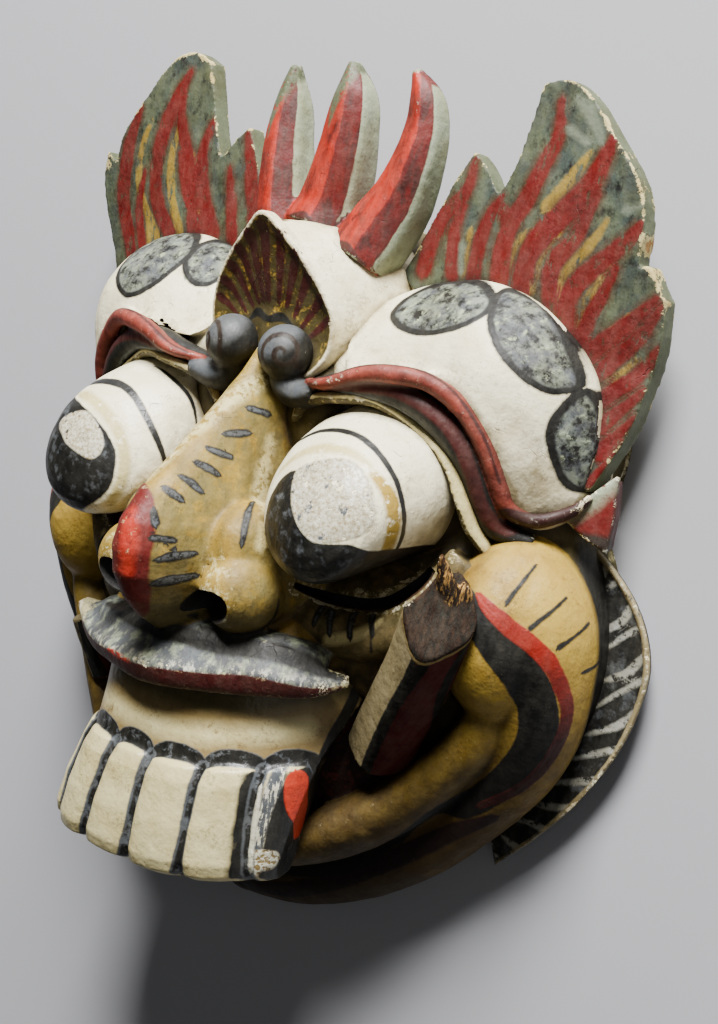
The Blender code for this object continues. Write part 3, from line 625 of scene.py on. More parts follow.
RUFF_OUTER = (
    (94, 16), (102.5, 11), (111, 5.5), (120, -3), (126.5, -14), (128.5, -27), (124, -47), (114, -66),
    (102, -82), (89, -96),
)
RUFF_INNER = ((89, -96), (84, -84), (82, -76), (98, -62), (104, -40), (104, -20), (98, 0), (94, 16))
RUFF_HEIGHT = 9.0
EAR_OUTLINE = (
    (99, 20), (104.5, 26.5), (109, 32), (112.5, 36), (113.8, 23), (113.5, 11.5), (106.5, 15),
)
EAR_AT = np.array((104.0, 21.0))


def ruffs():
    """The striped crescents behind the cheeks, undercut, each with a point and a thin raised edge."""
    outline = np.vstack([curve_through(RUFF_OUTER, 60)[:-1], curve_through(RUFF_INNER, 40)[:-1]])[::-1]
    under = outline + (np.array((92, -30)) - outline) * 0.2
    levels = ((under, UNDERCUT), (under, 0.5), (outline, RUFF_HEIGHT - 3), (outline, RUFF_HEIGHT))
    rings = [np.column_stack([edge, np.full(len(edge), z)]) for edge, z in levels]
    edge = [(x, y, RUFF_HEIGHT) for x, y in RUFF_OUTER]
    wide = (0.9,) * 6 + (0.8, 0.7, 0.6, 0.4)
    deep = (1.1,) * 6 + (0.9, 0.7, 0.6, 0.4)
    return both(loft(rings, flat=True), sweep(edge, wide, deep, 60, 14))


def ears():
    """The small three-cornered ears behind the cheeks."""
    rings = []
    for depth, scale in ((-14, 0.45), (-7, 0.85), (-0.8, 1.0), (0, 0.93)):
        ring = EAR_AT + (np.array(EAR_OUTLINE) - EAR_AT) * scale
        rings.append(np.column_stack([ring, 25 - 0.42 * (ring[:, 0] - EAR_AT[0]) + depth])[::-1])
    return both(loft(rings, flat=True))


# ---- the hollow back, the sight slots and the nostrils ----------------------------------------
RIM, WALL, DEEPEST = 11.0, 8.5, 62.0
HOLLOW_STEPS = (
    (1.0, 2), (0.985, 12), (0.95, 19), (0.9, 26), (0.84, 33), (0.77, 40), (0.69, 47), (0.6, 54),
    *((scale, DEEPEST) for scale in (0.5, 0.4, 0.3, 0.2, 0.1)),
)


def hollow(face):
    """A bowl that follows the back of the face and leaves a flat rim."""
    outline = curve_through(half_outline(HEAD_OUTLINE), 72, closed=True)[::-1]
    centre = np.array([0.0, -14.0])
    reach = np.linalg.norm(outline - centre, axis=1)[:, None]
    inner = centre + (outline - centre) * (1 - RIM / reach)
    rings = [np.column_stack([inner, np.full(72, 2 * UNDERCUT)])]
    for scale, steep in HOLLOW_STEPS:
        ring = centre + (inner - centre) * scale
        most = np.array([depth_behind(face, x, y) for x, y in ring])
        calm = most
        for _ in range(2):
            calm = 0.5 * calm + 0.25 * (np.roll(calm, 1) + np.roll(calm, -1))
        rings.append(np.column_stack([ring, np.minimum(calm, np.minimum(most + 1.5, steep))]))
    return loft(rings)


def depth_behind(face, x, y):
    """How high the gouge comes up behind the face at (x, y), leaving the wall whole all round it."""
    height = 1.0
    for _ in range(30):
        room = face.find_nearest((x * UNIT, y * UNIT, height * UNIT))[3] / UNIT - WALL
        if room < 0.2:
            break
        height += room
    return min(height, DEEPEST)


SLIT_PATH = (
    (24, -18), (30.4, -19), (38.5, -19.3), (46.3, -18.7), (54.1, -17.7), (61.3, -15),
    (67.9, -10.1), (72.6, -5.3), (75, -1.5),
)
SLIT_HALF, SLIT_LOW, SLIT_HIGH = 1.95, 26, 68


def slit(side):
    """A curved slot under the eye, tapered to both ends."""
    middle = curve_through(SLIT_PATH, 40)
    ahead = np.gradient(middle, axis=0)
    ahead /= np.linalg.norm(ahead, axis=1)[:, None]
    outward = np.stack([ahead[:, 1], -ahead[:, 0]], 1)
    rings = []
    for k, place in enumerate(middle):
        half = SLIT_HALF * (0.25 + 0.75 * math.sin(math.pi * (k + 1) / 41) ** 0.5)
        ring = []
        for height, way in (
            (SLIT_LOW, -half), (SLIT_LOW, half), (SLIT_HIGH, half), (SLIT_HIGH, -half),
        ):
            spot = place + outward[k] * way + np.array(SLIT_LEAN) * (height - SLIT_HEIGHT)
            ring.append((spot[0] * side, spot[1], height))
        rings.append(ring)
    return loft(rings)


def nostril(side):
    """A blind hole up into a wing of the nose."""
    path = ((20.6 * side, -31.4, 95), (18 * side, -27.2, 87), (14.5 * side, -22, 77.5))
    return sweep(path, (10.6, 10.4, 4), (6, 6, 3.5), 16, 24)


# ---- the carver's bench -----------------------------------------------------------------------
MOST_FACES = 190000
ROUGH_CELL = 1.5
CRUMB_SHARE = 0.01


def take(piece):
    """Selects the piece alone and makes it the active one."""
    bpy.ops.object.select_all(action="DESELECT")
    piece.select_set(True)
    bpy.context.view_layer.objects.active = piece


def skin_of(name, forms):
    """One object that holds all the forms, still as separate skins."""
    points = np.vstack([form[0] for form in forms])
    faces, start = [], 0
    for form in forms:
        faces += [tuple(start + corner for corner in face) for face in form[1]]
        start += len(form[0])
    mesh = bpy.data.meshes.new(name)
    mesh.from_pydata((points * UNIT).tolist(), [], faces)
    made = bpy.data.objects.new(name, mesh)
    bpy.context.scene.collection.objects.link(made)
    take(made)
    bpy.ops.object.mode_set(mode="EDIT")
    bpy.ops.mesh.select_all(action="SELECT")
    bpy.ops.mesh.normals_make_consistent(inside=False)
    bpy.ops.object.mode_set(mode="OBJECT")
    return made


def press(piece, kind, **settings):
    """Puts a modifier on the piece and applies it."""
    take(piece)
    modifier = piece.modifiers.new(kind.title(), kind)
    for name, value in settings.items():
        setattr(modifier, name, value)
    bpy.ops.object.modifier_apply(modifier=modifier.name)


def run_together(name, forms, cell):
    """The forms as one closed skin, smoothed a little."""
    made = skin_of(name, forms)
    press(made, "REMESH", mode="VOXEL", voxel_size=cell * UNIT, adaptivity=0.0)
    press(made, "SMOOTH", factor=0.5, iterations=2)
    return made


def all_forms():
    """Every form of the outside, as the carver roughs it out."""
    return (
        head_block() + crown() + lobes() + filling() + bulb() + leaf() + horns() + ridge() + band()
        + knobs() + eyeballs() + sockets() + beds() + bags() + nose() + wings() + upper_lip() + gum()
        + teeth() + cheeks() + lower_lip() + tusks() + splinter() + ruffs() + ears()
    )


def cutters():
    """The back's hollow, the slots, the nostrils and the level floor, made once and then kept."""
    found = [made for made in bpy.data.objects if made.name.startswith("cut_")]
    if found:
        return found
    whole = run_together("whole", all_forms(), ROUGH_CELL)
    shape = bmesh.new()
    shape.from_mesh(whole.data)
    back = hollow(BVHTree.FromBMesh(shape))
    shape.free()
    bpy.data.objects.remove(whole)
    bpy.ops.mesh.primitive_cube_add(size=0.5, location=(0, 0, -0.25))
    level = bpy.context.object
    level.name = "cut_level"
    take(level)
    bpy.ops.object.transform_apply(location=True, rotation=False, scale=False)
    found = [level, skin_of("cut_hollow", [back])]
    for side, word in ((1, "left"), (-1, "right")):
        found.append(skin_of(f"cut_{word}_slit", [slit(side)]))
        found.append(skin_of(f"cut_{word}_nostril", [nostril(side)]))
    for made in found:
        made.hide_render = True
        made.data.polygons.foreach_set("material_index", [1] * len(made.data.polygons))
    return found


def reach_of(made):
    """(lowest, highest) corner of an object's own mesh."""
    points = np.array([corner[:] for corner in made.bound_box])
    return points.min(axis=0), points.max(axis=0)


def rough_out(piece, size, depth):
    """The uneven hand of the carver: broad swells and flat gouge facets."""
    points, _ = points_of(piece)
    push(piece, depth * ripple(points, size * 1.7, 3.1) + 0.4 * depth * ripple(points, size / 2, 9.7))


def carve(name, forms, size, depth, detail="fine_cell"):
    """A carved piece: forms run together, roughed by swells of a size, and hollowed with the rest."""
    tools = cutters()
    piece = run_together(name, forms, getattr(bpy.context.scene.mask_sizes, detail) / UNIT)
    rough_out(piece, size, depth)
    bpy.context.view_layer.update()
    low, high = reach_of(piece)
    for _ in ("outside", "hollow"):
        piece.data.materials.append(None)
    press(piece, "TRIANGULATE")
    for tool in tools:
        from_low, to_high = reach_of(tool)
        if (low < to_high).all() and (from_low < high).all():
            press(piece, "BOOLEAN", operation="DIFFERENCE", solver="MANIFOLD", object=tool)
    drop_crumbs(piece)
    press(piece, "TRIANGULATE")
    if len(piece.data.polygons) > MOST_FACES:
        press(piece, "DECIMATE", ratio=MOST_FACES / len(piece.data.polygons))
    return piece


def drop_crumbs(piece):
    """Removes the loose crumbs that the cutting left."""
    mesh = bmesh.new()
    mesh.from_mesh(piece.data)
    left, crumbs = set(mesh.verts), []
    while left:
        island, edge = set(), [left.pop()]
        while edge:
            vertex = edge.pop()
            island.add(vertex)
            for link in vertex.link_edges:
                other = link.other_vert(vertex)
                if other in left:
                    left.discard(other)
                    edge.append(other)
        if len(island) < len(mesh.verts) * CRUMB_SHARE:
            crumbs += island
    bmesh.ops.delete(mesh, geom=crumbs, context="VERTS")
    mesh.to_mesh(piece.data)
    mesh.free()


def points_of(piece):
    """Its vertices in millimetres, and their normals."""
    count = len(piece.data.vertices)
    points, normals = np.empty(count * 3, np.float32), np.empty(count * 3, np.float32)
    piece.data.vertices.foreach_get("co", points)
    piece.data.vertex_normals.foreach_get("vector", normals)
    return points.reshape(-1, 3) / UNIT, normals.reshape(-1, 3)


def push(piece, lengths):
    """Moves each vertex along its normal by its length in millimetres."""
    points, normals = points_of(piece)
    points += normals * lengths[:, None]
    piece.data.vertices.foreach_set("co", (points * UNIT).ravel())
    piece.data.update()


def ripple(points, size, seed):
    """Smooth noise from about -1 to 1, with bumps of about that size."""
    return np.array([noise.noise(spot) for spot in (points / size + seed).tolist()])


# ---- laying out the painting ------------------------------------------------------------------
FAR = 99.0
ZONE_REACH = 9.0


def keep(piece, name, values):
    """Stores one value, or one vector, for each vertex."""
    vector = values.ndim == 2
    layer = piece.data.attributes.new(name, "FLOAT_VECTOR" if vector else "FLOAT", "POINT")
    layer.data.foreach_set("vector" if vector else "value", values.astype(np.float32).ravel())


def twice(marks):
    """The marks on both sides of the face."""
    return [mark for one in marks for mark in (one, flipped(one))]


def flipped(mark):
    """The mark on the other side of the face."""
    return tuple((-point[0], *point[1:]) for point in mark[0]), mark[1]


def dropped(tree, path):
    """A mark's points on the piece: those given as (x, y) fall onto it from in front."""
    found, last = [], 40.0
    for point in path:
        if len(point) == 2:
            hit = tree.ray_cast((*point, 200.0), (0, 0, -1))[0]
            last = hit.z if hit else last
            point = (*point, last)
        found.append(tree.find_nearest(point)[0])
    return np.array(found, float)


def lay(piece, name, marks, reach=6.0):
    """Stores (signed offset, half width, distance outside) from the nearest of the marks.

    A mark is ((points), (half widths)). The offset changes sign across the mark's middle, so a
    thin line keeps its edges between the vertices, and the distance outside ends the line.
    """
    points, normals = points_of(piece)
    faces = [tuple(face.vertices) for face in piece.data.polygons]
    tree = BVHTree.FromPolygons(points.tolist(), faces)
    offset, half, outside = np.full((3, len(points)), FAR)
    half[:] = 1
    for path, widths in marks:
        spine = dropped(tree, path)
        count = max(3 * len(spine), 8)
        spine = np.array([tree.find_nearest(spot)[0] for spot in curve_through(spine, count)])
        widths = np.interp(np.linspace(0, 1, count), np.linspace(0, 1, len(widths)), widths)
        room = widths.max() + reach
        inside = (points > spine.min(axis=0) - room) & (points < spine.max(axis=0) + room)
        near = np.nonzero(inside.all(axis=1))[0]
        spots, ups = points[near], normals[near]
        for a, b, first, last in zip(spine, spine[1:], widths, widths[1:]):
            along = b - a
            length = max(np.linalg.norm(along), 1e-6)
            share = np.clip((spots - a) @ along / length**2, 0, 1)
            away = spots - a - share[:, None] * along
            distance = np.linalg.norm(away, axis=1)
            width = first + (last - first) * share
            better = distance - width < outside[near]
            chosen = near[better]
            side = np.einsum("ij,ij->i", np.cross(along / length, away[better]), ups[better])
            offset[chosen] = np.where(side < 0, -1, 1) * distance[better]
            half[chosen] = width[better]
            outside[chosen] = (distance - width)[better]
    keep(piece, name, np.stack([offset, half, outside], 1))


def lay_all(piece, **marks):
    """Stores several kinds of marks, each under its name."""
    for name, given in marks.items():
        lay(piece, name, given)


def patch(piece, name, outlines, lowest=0.0):
    """Stores the signed distance, in plan, to the nearest of the closed outlines: inside is over 0.

    Skin whose normal rises less than lowest is left out.
    """
    points, normals = points_of(piece)
    found = np.full(len(points), -FAR)
    for outline in outlines:
        edge = curve_through(outline, 10 * len(outline), closed=True)
        after = np.roll(edge, -1, axis=0)
        spots = points[:, :2]
        nearest = np.full(len(points), FAR)
        inside = np.zeros(len(points), bool)
        for a, b in zip(edge, after):
            along = b - a
            share = np.clip((spots - a) @ along / max(along @ along, 1e-9), 0, 1)
            away = spots - a - share[:, None] * along
            nearest = np.minimum(nearest, np.hypot(away[:, 0], away[:, 1]))
            if a[1] != b[1]:
                crossing = (spots[:, 1] < a[1]) != (spots[:, 1] < b[1])
                at = a[0] + (spots[:, 1] - a[1]) * along[0] / along[1]
                inside ^= crossing & (spots[:, 0] < at)
        found = np.maximum(found, np.where(inside & (normals[:, 2] > lowest), nearest, -nearest))
    keep(piece, name, found)


def spots(piece, name, places):
    """Stores how strongly each vertex is under the soft spots (x, y, z, radius, strength)."""
    points, _ = points_of(piece)
    found = np.zeros(len(points))
    for x, y, z, radius, strength in places:
        away = np.linalg.norm(points - (x, y, z), axis=1) / radius
        found += strength * np.exp(-away * away * 1.4)
    keep(piece, name, found)


def zones(piece, **groups):
    """Stores, for each group of forms, how much nearer than any other group a vertex is to it."""
    points, _ = points_of(piece)
    spots_in = points.tolist()
    found = []
    for forms in groups.values():
        skin = [BVHTree.FromPolygons(form[0].tolist(), form[1]) for form in forms]
        nearest = np.full(len(points), ZONE_REACH)
        for tree in skin:
            hits = [tree.find_nearest(spot, ZONE_REACH)[3] for spot in spots_in]
            nearest = np.minimum(nearest, [ZONE_REACH if hit is None else hit for hit in hits])
        found.append(nearest)
    for k, name in enumerate(groups):
        others = np.min([one for i, one in enumerate(found) if i != k], axis=0)
        keep(piece, "on_" + name, others - found[k])


def neighbours(piece):
    """The two ends of every edge, and how many edges meet at each vertex."""
    ends = np.empty(len(piece.data.edges) * 2, np.int32)
    piece.data.edges.foreach_get("vertices", ends)
    ends = ends.reshape(-1, 2)
    return ends, np.bincount(ends.ravel(), minlength=len(piece.data.vertices))


def eased(values, ends, count, rounds):
    """The values, each drawn to the mean of its neighbours that many times."""
    for _ in range(rounds):
        total = np.bincount(ends[:, 0], values[ends[:, 1]], len(count))
        total += np.bincount(ends[:, 1], values[ends[:, 0]], len(count))
        values = 0.4 * values + 0.6 * total / np.maximum(count, 1)
    return values


# Raised edges wear pale from this, and sunken creases take grime and painted shade.
def edge_wear(piece):
    """Stores how far each vertex stands out from its surroundings, over a small and a wide reach."""
    points, normals = points_of(piece)
    ends, count = neighbours(piece)
    found = []
    for rounds in (5, 40):
        calm = np.stack([eased(points[:, axis], ends, count, rounds) for axis in range(3)], 1)
        out = np.einsum("ij,ij->i", points - calm, normals)
        found.append(eased(out, ends, count, 2))
    keep(piece, "stands_out", np.stack([found[0], found[1], 0 * found[0]], 1))


# ---- where the painter put each mark: ((points), (half widths)) -------------------------------
LEFT_TONGUES = (
    (
        ((65, 84), (64, 95), (65, 103), (69, 111), (73, 122), (76, 131), (75, 141)),
        (3, 2.6, 2.6, 2, 0.8),
    ),
    (((65, 101), (60, 110)), (1.8, 0.5)),
    (((73, 84), (74, 97), (82, 108), (88, 115), (93, 125), (95, 132)), (2.8, 3.2, 3.2, 2.6, 0.8)),
    (((83, 82), (82, 93), (87, 101), (90, 108), (93, 115)), (2.2, 2.4, 1.8, 0.6)),
    (((89, 76), (89, 87), (98, 97), (105, 104), (108, 109)), (2.4, 2.6, 2, 0.6)),
    (((94, 73), (98, 85), (102, 95)), (2, 1.8, 0.5)),
    (((97, 69), (107, 79), (115, 88)), (2.4, 2, 0.6)),
    (((101, 64), (112, 77), (117, 86)), (2.2, 1.8, 0.5)),
    (((103, 56), (113, 66), (118, 74)), (2.2, 1.7, 0.5)),
    (((105, 49), (116, 61)), (2.2, 0.6)),
    (((106, 41), (114, 53)), (2, 0.5)),
    (((106, 32), (112, 45)), (1.8, 0.5)),
    (((36, 86), (37, 95), (40, 103), (47, 112), (48, 121)), (2.4, 2.4, 1.8, 0.8)),
    (((47, 86), (45, 98), (47, 107)), (2, 1.8, 0.5)),
    (((55, 86), (55, 96), (57, 105), (60, 111)), (2.2, 1.9, 0.5)),
)
LEFT_OCHRE = (
    (((66, 90), (69, 99), (78, 104)), (1.6, 0.8)),
    (((76, 85), (77, 96), (84, 106)), (1.6, 1.7, 0.6)),
    (((86, 79), (85, 89), (93, 101), (97, 108)), (1.5, 1.6, 0.5)),
    (((77, 110), (84, 120), (88, 127)), (1.8, 1.7, 0.5)),
    (((93, 74), (95, 85), (100, 96)), (1.3, 1.2, 0.4)),
    (((99, 72), (108, 82)), (1.1, 0.5)),
    (((103, 60), (112, 70)), (1.1, 0.4)),
    (((51, 87), (51, 100)), (1.2, 0.5)),
)
RIGHT_TONGUES = (
    (((-100, 76), (-107, 92), (-107, 104), (-105, 115), (-101, 126)), (3, 3.2, 2.8, 0.8)),
    (((-77, 84), (-85, 92), (-89, 101), (-89, 114), (-84, 130), (-79, 140)), (2.6, 3, 3, 2.6, 1)),
    (((-66, 86), (-68, 97), (-73, 110), (-80, 124), (-80, 134)), (2.2, 2.4, 2, 0.6)),
    (((-56, 86), (-64, 100), (-67, 114), (-64, 124)), (2.6, 2.4, 0.8)),
    (((-61, 86), (-72, 99), (-78, 112)), (1.6, 1.6, 0.5)),
    (((-92, 76), (-97, 90), (-96, 104)), (2, 1.9, 0.5)),
    (((-36, 86), (-39, 96), (-43, 108), (-47, 121)), (2.6, 2.8, 2.2, 0.8)),
    (((-47, 86), (-50, 98), (-53, 109)), (2, 1.8, 0.5)),
)
RIGHT_OCHRE = (
    (((-72, 85), (-79, 97), (-82, 110), (-80, 122)), (1.6, 1.7, 0.6)),
    (((-84, 82), (-97, 96), (-99, 110), (-95, 122)), (1.5, 1.6, 0.6)),
    (((-58, 87), (-68, 99), (-71, 112)), (1.3, 1.3, 0.5)),
    (((-89, 80), (-93, 92)), (1.4, 0.5)),
)
LEFT_PETALS = (
    (
        (37, 71), (42, 67.5), (50, 66), (59, 67), (68, 71), (72, 76), (70, 81), (60, 85), (46, 83),
        (39, 78),
    ),
    (
        (70, 84), (72, 77), (76, 71), (83, 64), (91, 58), (97, 56.5), (101, 60), (97, 68), (89, 77),
        (80, 83),
    ),
    ((102, 59), (99, 54), (97, 46), (98, 38), (101, 30), (105, 30), (107, 42), (106, 53)),
)
RIGHT_PETALS = (
    ((-76, 63), (-69, 60), (-61, 64), (-55, 72), (-54, 80), (-62, 86), (-78, 85), (-86, 78), (-83, 69)),
    ((-53, 84), (-54, 76), (-49, 70), (-42, 68), (-37, 71), (-37, 78), (-42, 84)),
    ((-102, 59), (-99, 54), (-97, 46), (-98, 38), (-101, 30), (-105, 30), (-107, 42), (-106, 53)),
)
PETAL_STROKES = (
    (((42, 72), (46, 79)), (0.9, 0.5)), (((49, 70), (52, 80)), (1, 0.5)),
    (((57, 70), (58, 80)), (0.9, 0.5)), (((64, 73), (64, 80)), (1, 0.5)),
    (((77, 73), (79, 81)), (1, 0.5)), (((82, 68), (86, 77)), (1.1, 0.5)),
    (((88, 64), (92, 71)), (1, 0.5)), (((94, 60), (97, 66)), (0.9, 0.4)),
    (((100, 52), (104, 51)), (0.9, 0.5)), (((99, 45), (104, 44)), (1, 0.5)),
    (((100, 38), (104, 38)), (0.8, 0.4)),
)
LEAF_RAYS = (
    (((-22.5, 66), (-14, 61)), (1.5, 0.6)), (((-20, 71.5), (-11, 63)), (1.9, 0.7)),
    (((-16, 76.5), (-8, 65.5)), (2.1, 0.8)), (((-12, 82), (-5, 67)), (2.2, 0.8)),
    (((-7, 87), (-2.5, 68)), (2.3, 0.8)), (((-1, 90.5), (0, 68)), (2.3, 0.9)),
    (((6, 88), (4, 68)), (2.2, 0.8)), (((11.5, 83), (7, 67)), (2.1, 0.8)),
    (((16, 77.5), (10, 64.5)), (2, 0.8)), (((20, 71), (13, 61.5)), (1.8, 0.7)),
    (((22.5, 65), (15.5, 58)), (1.5, 0.6)),
)
MOUSTACHE = (
    (((-9, 60.5), (-5, 63.5), (0, 62), (5, 63.5), (9, 61.5)), (0.6, 1.6, 1.1, 1.6, 0.6)),
)
EYE_RINGS = (
    (
        (
            (24, 11, 64), (27, 22, 66), (33, 28.5, 69), (41, 32, 70), (53, 32.5, 70), (64, 27, 70),
            (70, 18, 68),
            (71.5, 11, 65.5), (71, 3, 63), (67, -6, 61),
        ),
        (0.6, 0.8, 1, 1.2, 1.2, 1.1, 1, 0.9, 0.7),
    ),
    (
        (
            (-72, 14, 67), (-66, 26, 70), (-56, 31, 73), (-46, 31.5, 73), (-39, 29, 73),
            (-33, 24, 73), (-28, 18, 72), (-25, 10, 69),
        ),
        (0.8, 1.6, 1.8, 1.6, 1.4, 1.2, 1.2, 0.8),
    ),
    (((-43, 38, 61), (-35, 36, 61), (-28, 31, 59), (-23, 24, 59)), (0.5, 1, 1, 0.5)),
)
PUPILS = (
    (
        (33, 13), (32, 3), (34, -8), (40, -18), (50, -25), (63, -24), (71, -15), (72, -3), (67, 4),
        (57, 3),
        (50, 6), (46, 12), (44, 20), (38, 20),
    ),
    (
        (-67, 24), (-58, 24.5), (-48, 22), (-40, 18), (-34, 12), (-33, 3), (-36, -3), (-42, -8),
        (-52, -13),
        (-64, -11), (-72, -2), (-73, 14),
    ),
)
GLINTS = (
    ((41, 21), (49, 26), (58, 27), (65, 22), (69, 14), (68, 8), (62, 4), (55, 3), (48, 8), (44, 13)),
    ((-60, 17), (-51, 22), (-43, 19), (-38, 13), (-40, 8), (-47, 9), (-54, 12)),
)
IRIS_ARCS = (
    (
        ((33, 18, 77), (37, 24, 77), (46, 28.5, 77), (55, 29, 76), (62, 26.5, 75)),
        (1, 1.8, 2, 1.8, 1),
    ),
    (
        (
            (-62, 27, 77), (-55, 26.5, 79), (-45, 24.5, 81), (-37, 19.5, 81), (-31.5, 12, 81),
            (-30.5, 3, 81), (-34, -6, 81),
        ),
        (1, 1.8, 2, 2, 2, 2, 1.4),
    ),
)
IRIS_SIDES = (
    (((64, 24, 75), (69, 18, 72), (71, 10, 70), (70, 2, 68), (65, -3, 64)), (1.6, 2.8, 3.2, 3, 1.6)),
)
EYE_CHIPS = ((67, 28, 66, 2, 0.9), (73, 12, 60, 2, 0.5))
# Painted shade on the eyes: darker at the left eye's outer side, below both eyes and next to the nose.
EYE_SHADE = (
    (76, 4, 56, 9, 0.5), (54, -21, 56, 11, 0.5), (30, 6, 52, 9, 0.5), (-26, 6, 52, 9, 0.5),
    (-50, -20, 60, 12, 0.4),
)
NOSE_DASHES = (
    (((6.5, 34), (9, 33)), (0.7, 0.8)), (((6.5, 25.4), (8, 26.1), (9, 26.6)), (0.6, 1, 0.7)),
    (((6, 20.5), (8, 19.7), (9.5, 19)), (0.6, 1, 0.6)),
    (((6, 16), (8, 15), (10, 13.5)), (0.6, 1.1, 0.7)),
    (((5.5, 11.5), (8, 10), (10, 8)), (0.6, 1.1, 0.7)),
    (((4.5, 7.5), (6.5, 6.5), (8.5, 5)), (0.7, 1.2, 0.8)),
    (((5.5, 0.5), (7, -2.5)), (0.8, 1)), (((7.5, -7), (10.5, -7)), (0.7, 0.8)),
    (((9, -13.5), (11, -12), (13.5, -10.5)), (0.6, 1.2, 0.6)),
    (((8, -21), (10.5, -19.5), (13.5, -17.5)), (0.8, 1.4, 0.7)),
)
NOSE_STROKE = (
    (((21, -6, 78), (20, 0, 76), (18.8, 4, 73)), (0.6, 0.8, 0.4)),
)
NOSE_CREST = (
    (((5, 43), (1, 34), (-1, 24), (-2.5, 14), (-3, 9)), (2.4, 3, 2.4, 2, 1.4)),
    (((-5, 43), (-4, 34), (-5, 24), (-6, 14)), (1.5, 2, 1.6, 1.2)),
    (((17, 26, 62), (19, 16, 66), (21, 5, 70), (23, -6, 75)), (2, 2.8, 3, 2)),
)
NOSE_TIP = (
    (
        (-8, 4), (-3, 7.5), (3, 5), (7, -2), (8, -9), (7.5, -17), (6.5, -25), (3, -32), (-3, -33),
        (-9, -26),
        (-11, -13), (-10, -2),
    ),
)
LIP_LINE = (
    (
        (-60, -46.5, 62), (-50, -51, 67), (-36, -53.5, 75.5), (-18, -53, 84), (0, -52.4, 88),
        (18, -49.8, 84.5), (35, -46.8, 78.5), (48, -45.8, 69.5), (57, -42, 61),
    ),
    (1, 2.3, 2.9, 3.2, 3.7, 3.6, 3.9, 2.8, 1.2),
)
TIP_GLOW = (
    (((0, -1), (3, -9), (3, -18)), (2, 3, 2)),
)
# Black along the lower rim of each nose wing: partly its dark edge, partly painted shadow under the
# wing.
WING_EDGE = (
    ((10, -32, 82), (17, -35, 79), (26, -34, 76), (33, -29, 71), (35.5, -21, 72)),
    (1, 1.7, 1.9, 1.5, 0.6),
)
# Painted shadow: a black band under the nose, above the lip.
UNDER_NOSE = (
    (
        (-42, -37.5, 70), (-24, -38, 78), (-8, -38.5, 82), (8, -38, 82), (22, -38, 79), (36, -36.5, 73),
        (50, -36, 68), (60, -36, 63),
    ),
    (1, 2.6, 3, 3, 3, 3.4, 3, 1.6),
)
LIP_SPARK = (
    (((-21, -50.4, 85), (-15, -50.2, 87), (-7, -50, 89)), (0.7, 1.2, 0.7)),
)
RIDGE_END = (
    (((89, 19, 41), (95, 17.5, 36), (103, 22.5, 30), (107.5, 28, 26)), (2.4, 3.6, 3.6, 2.4)),
)
BAG_GLOW = (
    ((37, -31, 69), (43, -32.5, 68), (50, -30.5, 65), (57, -25.5, 59), (61, -21, 55)),
    (0.8, 1.5, 1.8, 1.5, 0.8),
)
BAG_CRACK = (
    (((59, -20, 56), (60, -30, 55)), (0.35, 0.35)),
)
MOUTH_DOTS = (
    (((72, -63, 38), (73.5, -66, 38)), (1.4, 0.8)), (((62, -69, 36), (60, -73, 36)), (1.6, 0.8)),
    (((51, -80, 43), (53, -85, 45)), (1.6, 0.7)), (((67, -71, 36), (69, -69, 36)), (0.8, 0.6)),
)


def tooth_cuts():
    """The dark lines down the cuts between the teeth."""
    made = []
    for edge in TOOTH_EDGES[1:-1]:
        levels = (TOOTH_TOP, -90, -102, TOOTH_FOOT)
        path = [(tooth_edge(edge, y), y + row_rise(edge[0])) for y in levels]
        made.append((tuple(path), (2.4, 2.2, 2.1, 2.4)))
    return made


def tooth_arches():
    """The dark arches painted over the teeth, on the gum."""
    made = []
    for left, right in zip(TOOTH_EDGES, TOOTH_EDGES[1:]):
        path = []
        for share, lift in ((0, 0), (0.14, 2.6), (0.34, 3.8), (0.6, 3.8), (0.86, 2.8), (1, 0.4)):
            x = left[0] + (right[0] - left[0]) * share
            path.append((x, TOOTH_TOP + lift + row_rise(x)))
        made.append((tuple(path), (1.6, 2.4, 2.8, 2.8, 2.4, 1.6)))
    return made


MOUTH_MARKS = {
    "gum_light": (
        (((-44, -69), (-20, -68.5), (6, -68.5), (30, -64), (45, -59)), (2.4, 2.8, 3, 3, 2.4)),
    ),
    # painted shadow of the upper lip across the top of the gum
    "gum_dark": ((((-44, -50), (-20, -55), (6, -56), (30, -53), (50, -46)), (3, 4.4, 4.6, 4.6, 3)),),
    # black down the gum's sides: partly a painted line, partly painted shade
    "gum_sides": (
        (
            ((54, -46, 49), (52.6, -52, 50), (51, -58, 52), (49, -66, 54), (47.6, -73, 54)),
            (1.8, 2.1, 2.1, 2),
        ),
        (((-50.5, -60, 49), (-50, -68, 51), (-49, -75, 52)), (0.5, 0.9, 1.2)),
    ),
    "tooth_grime": ((((42, -71.5), (42, -86), (41.8, -99)), (2.4, 2.4, 1.8)),),
    "tooth_white": ((((39.9, -78), (40.2, -88), (40.8, -105)), (0.5, 1, 0.8)),),
    "tooth_red": (
        (((42.4, -76, 61), (42, -81, 60), (41, -87, 57.5), (39.8, -92, 55)), (4, 4.6, 4.6, 4)),
    ),
    "tooth_worn": ((((41.2, -105), (42.4, -101.5), (44.6, -101)), (2.4, 3.8, 3)),),
}
